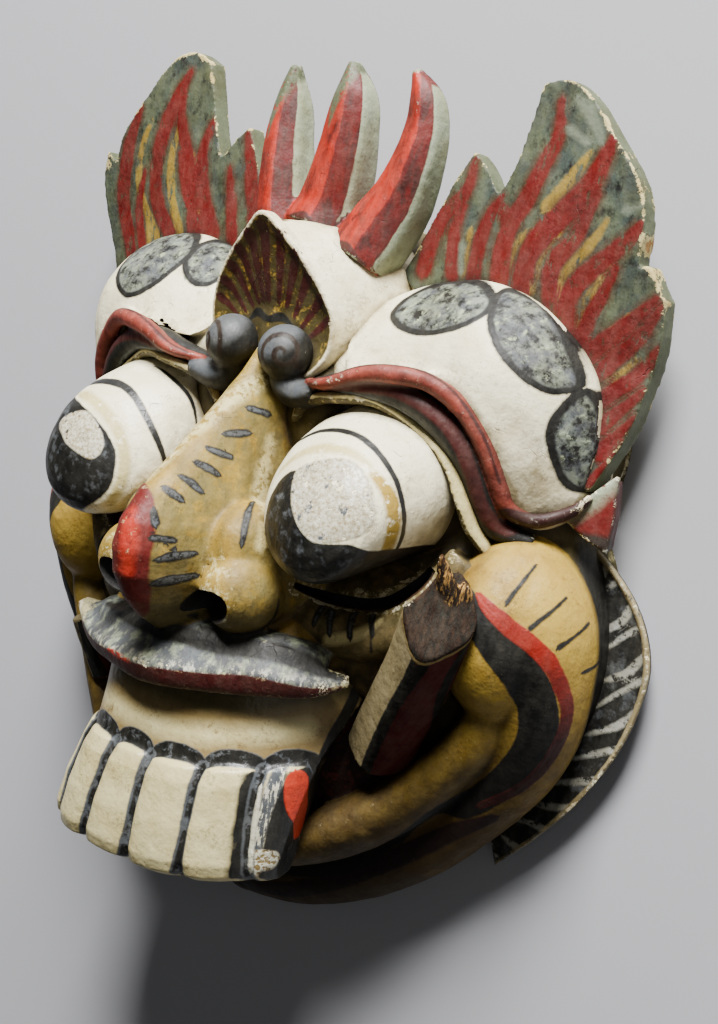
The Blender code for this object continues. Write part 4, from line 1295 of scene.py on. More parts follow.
# Painted shade on the gum and teeth: darker under the upper lip, at the row's ends and at its foot.
MOUTH_SHADE = (
    (52, -60, 48, 10, 0.4), (-50, -60, 46, 10, 0.4), (20, -54, 74, 9, 0.25), (-20, -54, 74, 9, 0.25),
    (0, -116, 55, 10, 0.3), (-46, -104, 50, 8, 0.3),
)
CHEEK_LINES = (
    (((100, -5.5, 49), (101, 5.5, 39)), (0.8, 0.6)), (((107, -11.5, 45), (109, -3, 34)), (0.9, 0.6)),
    (((111, -16, 37), (112, -10, 27)), (0.9, 0.6)), (((112, -23, 28), (110.5, -20, 14)), (0.8, 0.5)),
)
CHEEK_RED = (
    (
        (92, -5, 52), (96, -8, 51.5), (102, -12, 49), (108.5, -16, 45), (113.5, -20.5, 41),
        (116, -28, 35),
        (116.5, -36, 30), (114.5, -46, 28), (109, -57, 27), (101, -66, 27), (91, -73, 27),
    ),
    (1, 2.2, 2.7, 2.8, 2.7, 2.5, 2.3, 2.1, 1.9, 1.6, 1),
)
CHEEK_BLACK = (
    (
        (89, -6, 52), (94, -12, 52), (100.5, -18, 50), (106, -24, 45), (110, -33, 39.5), (110, -43, 34),
        (106, -53, 31.5), (98, -64, 29.5), (88, -74, 30), (76, -83, 32), (61, -95, 29), (47, -107, 28),
        (28, -115, 28), (0, -120, 29),
    ),
    (1.8, 4.8, 6, 6.4, 6.2, 6, 5.4, 4.6, 3.9, 3.5, 3.4, 3.4, 3.4),
)
# Painted shade: a soft black band down the cheeks' outer walls, next to the ruffs, which also makes the
# cheeks look narrower.
CHEEK_EDGE = (
    (
        (108, 8, 16), (114, -3, 13), (118.5, -15, 10), (119, -30, 8), (117, -44, 6), (111, -58, 5),
        (100, -74, 5),
    ),
    (6, 9, 11, 11, 11, 10, 8),
)
JAW_LINE = (
    (
        (96, -78, 26), (84, -84, 26), (71, -94, 26), (54, -107, 27), (36, -119, 27), (18, -126, 26),
        (-1, -128, 26),
    ),
    (2, 3, 3.4, 3.4, 3.4, 3.4, 3.4),
)
BAG_DASHES = (
    (((38, -20), (41, -26.5)), (0.8, 0.5)), (((44.5, -22), (47, -28)), (0.8, 0.5)),
    (((51, -21), (54, -27.5)), (0.8, 0.5)), (((57, -19), (60.5, -25)), (0.7, 0.4)),
)
BROW_GROOVE = (
    (
        (34, 45.5, 65), (43, 48, 65), (55, 49, 62.5), (66.5, 46, 58), (75, 38.5, 53), (79.5, 29, 49),
        (82.5, 20, 45), (88, 15, 41), (95, 14.5, 37),
    ),
    (0.7, 1.7, 2, 2.1, 2.1, 2, 2, 2, 1.6),
)
BAND_LINE = (
    (
        (30, 42.5, 63), (40, 45.5, 63.5), (52, 45, 60.5), (63, 40.5, 56), (72, 32.5, 51.5),
        (77.5, 22, 47.5),
    ),
    (0.4, 0.6, 0.6, 0.6, 0.6, 0.4),
)
RIDGE_EDGE = (
    (
        (26, 47.5, 66), (36, 49.5, 67), (48, 54, 65.5), (60, 56, 62), (72, 52.5, 57), (82, 42, 52),
        (88, 28, 46),
    ),
    (0.4, 0.6, 0.6, 0.6, 0.6, 0.6, 0.4),
)
SCRAPED = (
    (((81, 142), (86, 138), (91, 131)), (1.6, 2.6, 1.2)), (((103, 112), (108, 114)), (1.4, 0.8)),
    (((49, 95), (50, 87)), (1.2, 1)), (((80, 133), (86, 130)), (1.4, 1.2)),
)
CROWN_BREAKS = (
    (110, 103, 23, 4, 1.3), (117, 95, 22, 4, 1.3), (121, 88, 21, 3, 1.2), (-117, 105, 27, 4, 0.5),
    (-83, 147, 30, 5, 0.3), (-74, 145, 30, 5, 0.3), (84, 147, 30, 5, 0.35), (95, 139, 29, 5, 0.4),
    (103, 130, 27, 5, 0.4), (108, 120, 25, 5, 0.4), (75, 128, 31, 3.5, 0.35),
)
# Darker spots at a board's tip, at the boards' feet over the domes and low on the outer flame: painted
# shade, partly stain.
CROWN_SHADE = (
    (78, 145, 30, 5, 0.5), (55, 84, 32, 8, 0.35), (80, 84, 30, 8, 0.35), (-70, 84, 30, 8, 0.3),
    (112, 80, 20, 10, 0.3),
)
# Darker spots low on the domes and by the cone: partly stain, partly painted shade.
LOBE_SHADE = (
    (97, 32, 38, 9, 0.45), (-97, 32, 38, 9, 0.45), (60, 58, 54, 8, 0.2), (-60, 56, 54, 8, 0.2),
    (34, 60, 56, 9, 0.3), (-34, 60, 56, 9, 0.3), (92, 25, 40, 13, 0.55), (78, 44, 50, 10, 0.35),
    (-92, 25, 40, 13, 0.55), (-78, 44, 50, 10, 0.35),
)
LEAF_WORN = ((0, 93, 68, 5, 0.35), (-14, 80, 64, 4, 0.25), (16, 79, 63, 4, 0.25), (23, 64, 57, 4, 0.2))
LEAF_SHADE = ((0, 61, 58, 9, 0.3), (20, 66, 58, 8, 0.2), (10, 84, 66, 10, 0.15))
BROW_SHADE = (
    (62, 53, 62, 10, 0.5), (77, 40, 52, 9, 0.55), (84, 28, 46, 9, 0.6), (72, 20, 44, 9, 0.6),
    (-62, 53, 62, 10, 0.4), (-80, 36, 50, 12, 0.5), (88, 21, 42, 8, 0.4), (-88, 21, 42, 8, 0.4),
    (20, 44, 58, 7, 0.4), (-20, 44, 58, 7, 0.4),
)
FACE_WORN = ((-60, -46, 62, 5, 0.35), (0, 42, 68, 5, 0.2), (26, -14, 84, 3, 0.2))
# Painted shade: darker under the jaw and chin, low on the cheeks, over the shaded right cheek, beside
# the nose and under the bags.
FACE_SHADE = (
    (-104, -12, 34, 18, 0.6), (-108, -30, 28, 16, 0.5), (30, -24, 78, 7, 0.4), (24, -4, 72, 6, 0.3),
    (0, -128, 20, 40, 1), (50, -114, 20, 34, 0.95), (90, -84, 20, 30, 0.85), (112, -52, 22, 20, 0.6),
    (-50, -114, 20, 34, 0.95), (-90, -84, 20, 30, 0.8), (-112, -52, 22, 20, 0.6),
    (62, -90, 36, 28, 0.6),
    (90, -60, 30, 20, 0.3), (-62, -90, 36, 26, 0.45), (24, 12, 58, 10, 0.4), (-24, 12, 58, 10, 0.4),
    (0, -45, 70, 12, 0.2), (84, 2, 44, 10, 0.4), (-84, 2, 44, 10, 0.4), (60, -38, 54, 10, 0.45),
    (93, -40, 44, 9, 0.4), (60, -72, 34, 14, 0.6), (-60, -72, 34, 14, 0.6),
)
FACE_PALE = (
    (-56, -45, 64, 9, 0.7), (-20, -45, 84, 8, 0.12), (10, -44, 88, 8, 0.12), (36, -41, 78, 7, 0.1),
    (-2, 8, 102, 6, 0.2), (22, -13, 87, 7, 0.4), (16, -12, 86, 5, 0.3), (-22, -13, 87, 7, 0.3),
)
TUSK_LINES = (
    (
        ((89, -22, 68), (86, -28, 65.5), (76, -42, 61.5), (65, -62, 53.5), (61, -71, 49.5)),
        (0.8, 1.9, 2, 1.9, 1.6),
    ),
    (((95, -19, 57.5), (88, -37, 52.5), (71, -56, 33.5)), (1.6, 2, 2)),
)


def knob_spiral():
    """The curl drawn on a knob, from its middle outwards."""
    turn = np.linspace(0.4, 3.3 * math.pi, 22)
    reach = np.linspace(0.6, 7.2, 22)
    path = []
    for a, r in zip(turn, reach):
        lift = math.sqrt(max(KNOB_RADIUS**2 - r * r, 0))
        middle = np.array(KNOB_AT) + np.array((0.55, 0, 0.83)) * lift
        across, upward = np.array((0.83, 0, -0.55)), np.array((0, 1, 0))
        path.append(tuple(middle + across * r * math.cos(a) + upward * r * math.sin(a)))
    return tuple(path), (0.5, 0.8, 0.9, 0.9)


def ruff_strokes():
    """The pale strokes that run out across the ruff to its edge, each bent its own way."""
    outer, inner = curve_through(RUFF_OUTER, 60), curve_through(RUFF_INNER[::-1], 60)
    made = []
    for k in range(5, 58, 4):
        bend, reach = math.sin(k * 2.3), 0.36 + 0.1 * math.cos(k * 1.7)
        a, b = inner[k] * (1 - reach) + outer[k] * reach, outer[min(k + 2, 59)]
        middle = (a + b) / 2 + (1.4 + bend, -1.4 * bend)
        path = tuple((*point, RUFF_HEIGHT) for point in (a, middle, b))
        made.append((path, (0.4, 1.1 + 0.3 * bend, 1.1)))
    return made


# ---- paints and finishes ----------------------------------------------------------------------
def shade(red, green, blue):
    """A colour on the 0 to 255 scale of a screen, as linear light."""
    scale = [part / 255 for part in (red, green, blue)]
    return (*[v / 12.92 if v <= 0.04045 else ((v + 0.055) / 1.055) ** 2.4 for v in scale], 1.0)


class Bench:
    """Adds nodes to one tree and wires them."""

    def __init__(self, tree):
        self.tree = tree

    def add(self, kind, **settings):
        made = self.tree.nodes.new(kind)
        for name, value in settings.items():
            setattr(made, name, value)
        return made

    def feed(self, socket, value):
        if isinstance(value, bpy.types.NodeSocket):
            self.tree.links.new(value, socket)
        else:
            socket.default_value = value

    def sum(self, operation, *values, clamp=False):
        made = self.add("ShaderNodeMath", operation=operation, use_clamp=clamp)
        for socket, value in zip(made.inputs, values):
            self.feed(socket, value)
        return made.outputs[0]

    def plus(self, *values):
        return self.sum("ADD", *values)

    def minus(self, *values):
        return self.sum("SUBTRACT", *values)

    def times(self, *values):
        return self.sum("MULTIPLY", *values)

    def times_plus(self, value, factor, base, clamp=False):
        return self.sum("MULTIPLY_ADD", value, factor, base, clamp=clamp)

    def mix(self, share, under, over, blend="MIX"):
        made = self.add("ShaderNodeMix", data_type="RGBA", blend_type=blend)
        for index, value in ((0, share), (6, under), (7, over)):
            self.feed(made.inputs[index], value)
        return made.outputs[2]

    def fade(self, value, low, high, to_low=0.0, to_high=1.0):
        made = self.add("ShaderNodeMapRange", clamp=True)
        for socket, given in zip(made.inputs, (value, low, high, to_low, to_high)):
            self.feed(socket, given)
        return made.outputs[0]

    def noise(self, where, size, detail=3.0, rough=0.55, twist=0.0):
        """Noise with features of about that size in millimetres."""
        made = self.add("ShaderNodeTexNoise")
        self.feed(made.inputs["Vector"], where)
        for name, value in (
            ("Scale", 1000 / size), ("Detail", detail), ("Roughness", rough), ("Distortion", twist)
        ):
            made.inputs[name].default_value = value
        return made.outputs[0]

    def cells(self, where, size, feature="F1"):
        made = self.add("ShaderNodeTexVoronoi", feature=feature)
        self.feed(made.inputs["Vector"], where)
        made.inputs["Scale"].default_value = 1000 / size
        return made.outputs["Distance"]

    def stretched(self, where, x, y, z):
        made = self.add("ShaderNodeMapping")
        self.feed(made.inputs["Vector"], where)
        made.inputs["Scale"].default_value = (x, y, z)
        return made.outputs[0]

    def split(self, vector):
        made = self.add("ShaderNodeSeparateXYZ")
        self.feed(made.inputs[0], vector)
        return made.outputs

    def value(self, name):
        """A number stored on the piece's vertices."""
        return self.add("ShaderNodeAttribute", attribute_name=name).outputs["Fac"]

    def vector(self, name):
        return self.add("ShaderNodeAttribute", attribute_name=name).outputs["Vector"]

    def group(self, fill, *values):
        """One of the shared effects, whose group is made when it is first asked for."""
        label, inputs, outputs = SHARED[fill.__name__]
        tree = bpy.data.node_groups.get(label) or new_group(fill, label, inputs, outputs)
        made = self.add("ShaderNodeGroup", node_tree=tree)
        for socket, value in zip(made.inputs, values):
            self.feed(socket, value)
        return made.outputs

    def bump(self, shader, height, strength):
        """Wires a height in millimetres to the surface."""
        made = self.add("ShaderNodeBump")
        made.inputs["Strength"].default_value = strength
        made.inputs["Distance"].default_value = UNIT
        self.feed(made.inputs["Height"], height)
        self.feed(shader.inputs["Normal"], made.outputs[0])


SHARED = {}
WHERE = ("Where", "Vector", None)
COVER = ("Cover", "Float", 0.3)


def shared(label, inputs, outputs):
    """Files a function that fills a node group, with the group's name and sockets."""

    def file(fill):
        SHARED[fill.__name__] = label, inputs, outputs
        return fill

    return file


def new_group(fill, label, inputs, outputs):
    """A node group with its sockets, filled by a function that gives what comes out."""
    tree = bpy.data.node_groups.new(label, "ShaderNodeTree")
    for name, kind, default in inputs:
        socket = tree.interface.new_socket(name, in_out="INPUT", socket_type="NodeSocket" + kind)
        if default is not None:
            socket.default_value = default
    for name, kind in outputs:
        tree.interface.new_socket(name, in_out="OUTPUT", socket_type="NodeSocket" + kind)
    bench = Bench(tree)
    given = bench.add("NodeGroupInput").outputs
    ends = bench.add("NodeGroupOutput").inputs
    for socket, value in zip(ends, fill(bench, *given[: len(inputs)])):
        bench.feed(socket, value)
    return tree


@shared("Wandering edge", (WHERE, ("Rag", "Float", 0.3)), (("Length", "Float"),))
def wander(bench, where, rag):
    """How far, in millimetres, the edges of brushwork wander from where they were meant to be."""
    coarse = bench.minus(bench.noise(where, 4.5, 2), 0.5)
    fine = bench.minus(bench.noise(where, 1.1, 3, 0.7), 0.5)
    yield bench.times(bench.plus(bench.times(coarse, 2.4), fine), rag)


@shared(
    "Brush mark", (("Mark", "Vector", None), ("Wander", "Float", 0.0), ("Soft", "Float", 0.2)),
    (("Mask", "Float"), ("Reach", "Float")),
)
def brush_mark(bench, mark, moved, soft):
    """A brush mark laid out on the vertices, with its edges moved by the wander."""
    offset, half, outside = bench.split(mark)
    reach = bench.minus(bench.sum("ABSOLUTE", offset), half)
    reach = bench.plus(bench.sum("MAXIMUM", reach, bench.minus(outside, 0.5)), moved)
    yield bench.fade(reach, soft, bench.times(soft, -1.0))
    yield reach


@shared(
    "Old paint", (("Colour", "Color", (1, 1, 1, 1)), WHERE, ("Mottle", "Float", 0.5)),
    (("Colour", "Color"),),
)
def old_paint(bench, colour, where, mottle):
    """Hand-laid paint: uneven, mottled and a little dirty."""
    cloud = bench.fade(bench.noise(where, 14, 4, 0.6), 0.38, 0.68)
    smear = bench.fade(bench.noise(bench.stretched(where, 1, 0.35, 1), 3.5, 4, 0.65), 0.35, 0.75)
    grit = bench.fade(bench.noise(where, 0.7, 3, 0.8), 0.3, 0.7)
    browner = bench.mix(1.0, colour, (0.6, 0.5, 0.32, 1), "MULTIPLY")
    paler = bench.mix(0.08, colour, (0.8, 0.74, 0.56, 1))
    colour = bench.mix(bench.times(cloud, mottle), colour, browner)
    colour = bench.mix(bench.times(smear, bench.times(mottle, 0.6)), colour, paler)
    darker = bench.mix(1.0, colour, (0.66, 0.64, 0.6, 1), "MULTIPLY")
    yield bench.mix(bench.times(grit, bench.times(mottle, 0.8)), colour, darker)


@shared("Chips", (WHERE, ("Wear", "Float", 0.0)), (("Ground", "Float"), ("Wood", "Float")))
def chips(bench, where, wear):
    """Where old paint has worn to its ground, and where the ground has worn to the wood."""
    broad = bench.times(bench.minus(bench.noise(where, 5.0, 5, 0.65), 0.5), 1.5)
    small = bench.times(bench.minus(bench.noise(where, 1.0, 3, 0.7), 0.5), 0.8)
    level = bench.plus(wear, bench.plus(broad, small))
    yield bench.fade(level, 0.5, 0.56)
    yield bench.fade(level, 0.92, 0.98)


@shared(
    "Bare wood", (("Light", "Color", (1, 1, 1, 1)), ("Dark", "Color", (0, 0, 0, 1)), WHERE),
    (("Colour", "Color"), ("Height", "Float")),
)
def bare_wood(bench, light, dark, where):
    """Light wood with a long grain up the mask."""
    grain = bench.noise(bench.stretched(where, 1, 0.06, 1), 1.6, 4, 0.7, 0.3)
    broad = bench.noise(bench.stretched(where, 1, 0.12, 1), 9, 2, 0.5, 0.4)
    both_grains = bench.plus(bench.times(grain, 0.65), bench.times(broad, 0.35))
    yield bench.mix(bench.fade(both_grains, 0.34, 0.66), light, dark)
    yield grain


@shared("Specks", (WHERE, COVER), (("Mask", "Float"),))
def specks(bench, where, cover):
    """Small specks, such as grit or pinpricks of lost paint. Cover is how much of them shows."""
    fine = bench.noise(where, 1.3, 4, 0.8)
    patchy = bench.minus(bench.noise(where, 11, 2), 0.5)
    level = bench.plus(bench.plus(fine, bench.times(patchy, 0.5)), bench.times(cover, 0.4))
    yield bench.fade(level, 0.66, 0.7)


@shared("Crackle", (WHERE, COVER), (("Mask", "Float"),))
def crackle(bench, where, cover):
    """Fine cracks in a brittle coat, in some places only."""
    bent = bench.add("ShaderNodeVectorMath", operation="ADD")
    swirl = bench.add("ShaderNodeTexNoise")
    swirl.inputs["Scale"].default_value = 160
    bench.feed(swirl.inputs["Vector"], where)
    small = bench.add("ShaderNodeVectorMath", operation="SCALE")
    small.inputs["Scale"].default_value = 0.004
    bench.feed(small.inputs[0], swirl.outputs["Color"])
    bench.feed(bent.inputs[0], where)
    bench.feed(bent.inputs[1], small.outputs[0])
    edge = bench.cells(bench.stretched(bent.outputs[0], 1, 0.5, 1), 6, "DISTANCE_TO_EDGE")
    line = bench.fade(edge, 0.018, 0.004)
    broad = bench.times_plus(cover, 0.4, bench.noise(where, 16, 3))
    line = bench.times(line, bench.fade(bench.noise(where, 3, 3), 0.4, 0.6))
    yield bench.times(line, bench.fade(broad, 0.64, 0.74))


# ---- sizes and colours that a user would change -----------------------------------------------
def length(name, description, default):
    return bpy.props.FloatProperty(
        name=name, description=description, default=default, min=0.0, subtype="DISTANCE", unit="LENGTH"
    )


def paint(name, description, default):
    return bpy.props.FloatVectorProperty(
        name=name, description=description, default=shade(*default), size=4, subtype="COLOR",
        min=0.0, max=1.0,
    )


class MaskSizes(bpy.types.PropertyGroup):
    """How finely each part of the mask is carved."""

    face_cell: length("Face detail", "Smallest detail carved on the face", 0.00105)
    fine_cell: length("Fine detail", "Smallest detail carved on the eyes, teeth and brows", 0.0007)
    crown_cell: length("Crown detail", "Smallest detail carved on the flame boards", 0.0007)
    floor_side: length("Floor", "Side of the plain floor", 6.0)
    smooth_angle: bpy.props.FloatProperty(
        name="Crease angle", description="Edges that fold more than this stay crisp",
        default=math.radians(50), subtype="ANGLE", unit="ROTATION",
    )


class MaskPaints(bpy.types.PropertyGroup):
    """The painter's colours, and what shows where they have gone."""

    cream: paint("Cream", "Ground and skin of the forehead and eyes", (244, 236, 200))
    ivory: paint("Ivory", "The teeth", (206, 194, 142))
    bone: paint("Bone", "The cream face of the tusk", (134, 122, 88))
    yellow: paint("Yellow cream", "Rims of the eye sockets", (204, 190, 132))
    ochre: paint("Ochre", "Nose and cheeks", (168, 138, 50))
    olive: paint("Olive", "Leaf, bags and hollows", (74, 65, 28))
    teal: paint("Grey green", "Crown boards behind the flames", (56, 66, 60))
    moss: paint("Moss", "Lighter patches of the crown boards", (86, 94, 68))
    pale_green: paint("Pale green", "Sides of the horns and boards", (150, 160, 134))
    red: paint("Red", "Flame tongues, horns and nose tip", (98, 12, 8))
    orange: paint("Orange red", "Brightest red of the horns and cheeks", (166, 36, 16))
    pink: paint("Faded red", "Brow ridge and ears", (156, 70, 56))
    maroon: paint("Maroon", "Lip line, tusk faces and brow groove", (66, 18, 15))
    black: paint("Black", "Outlines, ruff and pupils", (14, 14, 12))
    slate: paint("Slate", "Petals, knobs and lip", (78, 82, 86))
    white: paint("Chalk white", "Worn highlights and specks", (208, 206, 186))
    vermilion: paint("Vermilion", "The one red tooth patch", (186, 44, 12))
    gum: paint("Gum", "Gum above the teeth", (134, 114, 70))
    wood: paint("Fresh wood", "Broken wood", (190, 146, 82))
    old_wood: paint("Old wood", "Hollow back and the tusk's end", (70, 44, 26))
    dark_wood: paint("Dark grain", "Grain and stains of the old wood", (32, 19, 11))
    # Also the colour of the painted shade in the cuts, seams and hollows.
    dirt: paint("Dirt", "Grime in the cuts", (26, 21, 12))


def new_material(name):
    """A plain material of that name: (its bench, its surface)."""
    material = bpy.data.materials.new(name)
    material.use_nodes = True
    return Bench(material.node_tree), material.node_tree.nodes["Principled BSDF"]


class Coat:
    """One piece's paint, laid coat over coat, then worn, dirtied and darkened with painted shade."""

    def __init__(self, name, base, rag=0.35):
        self.paints = bpy.context.scene.mask_paints
        base = getattr(self.paints, base)
        self.name = name
        self.bench, self.shader = new_material(name)
        self.where = self.bench.add("ShaderNodeTexCoord").outputs["Object"]
        self.wander = self.bench.group(wander, self.where, rag)[0]
        self.colour = self.bench.mix(0.0, base, base)
        self.height = self.bench.plus(0.0, 0.0)

    def mark(self, name, soft=0.3, wider=0.0):
        """Where the marks of that name are, grown by so many millimetres."""
        bench = self.bench
        moved = bench.minus(self.wander, wider) if wider else self.wander
        return bench.group(brush_mark, bench.vector(name), moved, soft)[0]

    def inside(self, name, low=0.0, soft=0.3):
        """Where the stored distance is over a value, with the wandering edge."""
        bench = self.bench
        reach = bench.plus(bench.value(name), self.wander)
        return bench.fade(reach, low - soft, low + soft)

    def along(self, name, near, far, soft=0.3):
        """Where the stored distance is between two values: a line that follows an area's edge."""
        bench = self.bench
        beyond = bench.minus(1.0, self.inside(name, far, soft))
        return bench.times(self.inside(name, near, soft), beyond)

    def facing(self, way, low, high):
        """Where the skin faces one way, with an edge that wanders a little."""
        bench = self.bench
        turned = bench.add("ShaderNodeVectorMath", operation="DOT_PRODUCT")
        bench.feed(turned.inputs[0], bench.vector("facing"))
        turned.inputs[1].default_value = way
        share = bench.times_plus(self.wander, 0.07, turned.outputs["Value"])
        return bench.fade(share, low, high)

    def spread(self, cover, size=3.0, long=1.0, crisp=0.05):
        """Broken cover, as of a dry brush or flaked paint: the share that is covered, 0 to 1."""
        bench = self.bench
        where = self.where if long == 1.0 else bench.stretched(self.where, 1, 1 / long, 1)
        level = 0.68 - 0.36 * cover
        return bench.fade(bench.noise(where, size, 4, 0.68), level - crisp, level + crisp)

    def lay(self, colour, mask, *others, lift=0.06):
        """Lays one coat of a colour where all the masks are."""
        for other in others:
            mask = self.bench.times(mask, other)
        self.colour = self.bench.mix(mask, self.colour, colour)
        if lift:
            self.height = self.bench.times_plus(mask, lift, self.height)

    def stain(self, colour, *masks):
        """Lays a colour that adds no thickness, used for stains and for painted shade."""
        self.lay(colour, *masks, lift=0)

    def wear_down(self, colour, wear, ground, rub):
        """Rubs the coats pale, chips them to the ground and the ground to the wood."""
        bench, where, paints = self.bench, self.where, self.paints
        stands = bench.split(bench.vector("stands_out"))
        edges = bench.fade(stands[0], 0.03, 0.28)
        swells = bench.fade(stands[1], 0.2, 1.4)
        pale = bench.times_plus(edges, 0.3, bench.value("pale"))
        pale = bench.times_plus(swells, 0.14, pale)
        broken = bench.minus(bench.noise(where, 2.2, 5, 0.75), 0.5)
        pale = bench.times_plus(broken, 2.0, pale)
        colour = bench.mix(bench.fade(pale, 0.4, 0.75, 0.0, 0.8), colour, rub or paints.white)
        level = bench.times_plus(edges, 0.42, wear - 0.12)
        level = bench.times_plus(swells, 0.12, level)
        level = bench.plus(level, bench.value("worn"))
        lost = bench.group(chips, where, level)
        plain = bench.group(old_paint, ground or paints.cream, where, 0.9)[0]
        timber = bench.group(bare_wood, paints.wood, paints.old_wood, where)
        colour = bench.mix(lost[0], colour, plain)
        return bench.mix(lost[1], colour, timber[0]), lost, stands

    def soil(self, colour, dirt, stands):
        """Darkens the cuts, the seams and what is shut away from the light: partly grime, partly
        painted shade.
        """
        bench, where = self.bench, self.where
        hidden = bench.split(bench.vector("hidden"))
        # Painted shade with grime: darker near other pieces, where little sky is open, and in the
        # creases.
        close = bench.fade(hidden[0], 2.4, 0.0)
        shaded = bench.fade(hidden[1], 0.66, 0.1)
        cut = bench.fade(stands[0], -0.04, -0.34)
        stain = bench.times_plus(close, 0.6, bench.value("stained"))
        stain = bench.times_plus(shaded, 0.62, stain)
        stain = bench.times_plus(cut, 0.6, stain)
        blot = bench.minus(bench.noise(where, 5, 5, 0.65), 0.5)
        stain = bench.fade(bench.times_plus(blot, 1.3, stain), 0.14, 0.95)
        soiled = bench.mix(1.0, colour, (0.26, 0.21, 0.13, 1), "MULTIPLY")
        soiled = bench.mix(0.22, soiled, self.paints.dirt)
        colour = bench.mix(bench.times(stain, dirt), colour, soiled)
        dust = bench.group(specks, where, 0.14)[0]
        return bench.mix(bench.times(dust, 0.4), colour, soiled), stain

    def finish(
        self, wear=0.1, dirt=0.75, rough=0.56, mottle=0.5, ground=None, crack=0.1, rub=None, gloss=0.3
    ):
        """Mottles, wears, cracks and dirties the coats, darkens them with painted shade, and wires them
        to the surface.
        """
        bench, where, paints = self.bench, self.where, self.paints
        colour = bench.group(old_paint, self.colour, where, mottle)[0]
        colour, lost, stands = self.wear_down(colour, wear, ground, rub)
        cracks = bench.group(crackle, where, crack)[0]
        colour = bench.mix(bench.times(cracks, 0.7), colour, paints.dark_wood)
        colour, stain = self.soil(colour, dirt, stands)
        bench.feed(self.shader.inputs["Base Color"], colour)
        dull = bench.fade(bench.noise(where, 8, 4), 0.3, 0.75, rough - 0.08, rough + 0.14)
        dull = bench.times_plus(lost[0], 0.12, dull)
        dull = bench.times_plus(stain, 0.1, dull, clamp=True)
        bench.feed(self.shader.inputs["Roughness"], dull)
        self.shader.inputs["Specular IOR Level"].default_value = gloss
        height = bench.times_plus(lost[0], -0.16, self.height)
        height = bench.times_plus(lost[1], -0.16, height)
        height = bench.times_plus(cracks, -0.2, height)
        brush = bench.noise(bench.stretched(where, 1, 0.3, 1), 1.6, 3, 0.6)
        height = bench.times_plus(brush, 0.14, height)
        height = bench.times_plus(bench.noise(where, 3.2, 2), 0.35, height)
        bench.bump(self.shader, height, 0.9)
        return bpy.data.materials[self.name]


def carved_wood():
    """Bare gouged wood, as in the hollow back."""
    if "carved_wood" in bpy.data.materials:
        return bpy.data.materials["carved_wood"]
    paints = bpy.context.scene.mask_paints
    bench, shader = new_material("carved_wood")
    where = bench.add("ShaderNodeTexCoord").outputs["Object"]
    colour, height = bench.group(bare_wood, paints.old_wood, paints.dark_wood, where)[:2]
    paler = bench.mix(0.35, colour, paints.wood)
    colour = bench.mix(bench.fade(bench.noise(where, 26, 3), 0.4, 0.65), colour, paler)
    smudge = bench.fade(bench.noise(where, 12, 4, 0.6), 0.45, 0.75)
    colour = bench.mix(bench.times(smudge, 0.5), colour, paints.dark_wood)
    # Painted shade: the blind nostril holes, highest in the hollow, go black.
    deep = bench.fade(bench.split(where)[2], 0.064, 0.07, 0.0, 0.97)
    colour = bench.mix(deep, colour, paints.black)
    bench.feed(shader.inputs["Base Color"], colour)
    bench.feed(shader.inputs["Roughness"], bench.fade(height, 0.2, 0.8, 0.62, 0.82))
    gouge = bench.cells(bench.stretched(where, 1, 0.45, 1), 9, "SMOOTH_F1")
    total = bench.times_plus(gouge, 1.6, bench.times(height, 0.35))
    bench.bump(shader, total, 0.8)
    return bpy.data.materials["carved_wood"]


# ---- what each piece is painted with ----------------------------------------------------------
def lobe_paint():
    coat = Coat("lobe_paint", "cream")
    paints = coat.paints
    petal = coat.inside("petals")
    coat.lay(paints.slate, petal)
    ash = coat.bench.mix(0.45, paints.pale_green, paints.slate)
    coat.lay(ash, coat.inside("petals", 1.4, 0.8), coat.spread(0.52, 6, 1.0, 0.1))
    coat.lay(paints.black, petal, coat.spread(0.4, 3.4, 1.0, 0.08), lift=0.02)
    coat.lay(paints.pale_green, coat.mark("petal_strokes"), coat.spread(0.36, 3.0), lift=0.08)
    coat.lay(paints.black, coat.along("petals", -0.5, 1.5), lift=0.08)
    return coat.finish(wear=0.04, dirt=0.9, mottle=0.55)


def crown_paint():
    coat = Coat("crown_paint", "teal", rag=0.6)
    paints = coat.paints
    coat.stain(paints.moss, coat.spread(0.4, 9, 1.4, 0.14))
    coat.stain(paints.black, coat.spread(0.2, 4, 1.4, 0.08))
    dull_ochre = coat.bench.mix(0.4, paints.ochre, paints.olive)
    coat.lay(dull_ochre, coat.mark("ochre_tongues", 0.5, 0.4), coat.spread(0.72, 3.2, 2.4))
    coat.lay(paints.old_wood, coat.mark("tongues", 1.2, 1.6), coat.spread(0.7, 3.6, 2))
    coat.lay(paints.red, coat.mark("tongues", 0.5, 0.5), coat.spread(0.86, 2.6, 2.4))
    coat.lay(coat.bench.mix(0.35, paints.teal, paints.pale_green), coat.mark("scraped", 0.8))
    coat.lay(paints.moss, coat.facing((0, 0, 1), 0.55, 0.35))
    return coat.finish(wear=0.2, dirt=0.8, mottle=0.8, ground=paints.yellow, rub=paints.moss)


def horn_paint():
    coat = Coat("horn_paint", "red")
    paints = coat.paints
    coat.lay(paints.orange, coat.facing((1, 0, 0), 0.42, 0.34), coat.spread(0.9, 4, 3))
    # Painted shade: the horn faces turned to +X go darker, towards maroon.
    coat.stain(paints.maroon, coat.facing((1, 0, 0), 0.46, 0.54), coat.spread(0.4, 4, 3))
    coat.stain(paints.maroon, coat.spread(0.3, 7, 2, 0.14))
    coat.lay(paints.pale_green, coat.facing((1, 0, 0), 0.74, 0.8))
    coat.lay(paints.moss, coat.mark("horn_tips", 0.9), coat.spread(0.75, 3))
    # Painted shade in the groove round each horn's foot.
    coat.lay(paints.maroon, coat.mark("horn_feet"))
    return coat.finish(wear=0.16, dirt=0.75, mottle=0.8, ground=paints.pale_green)


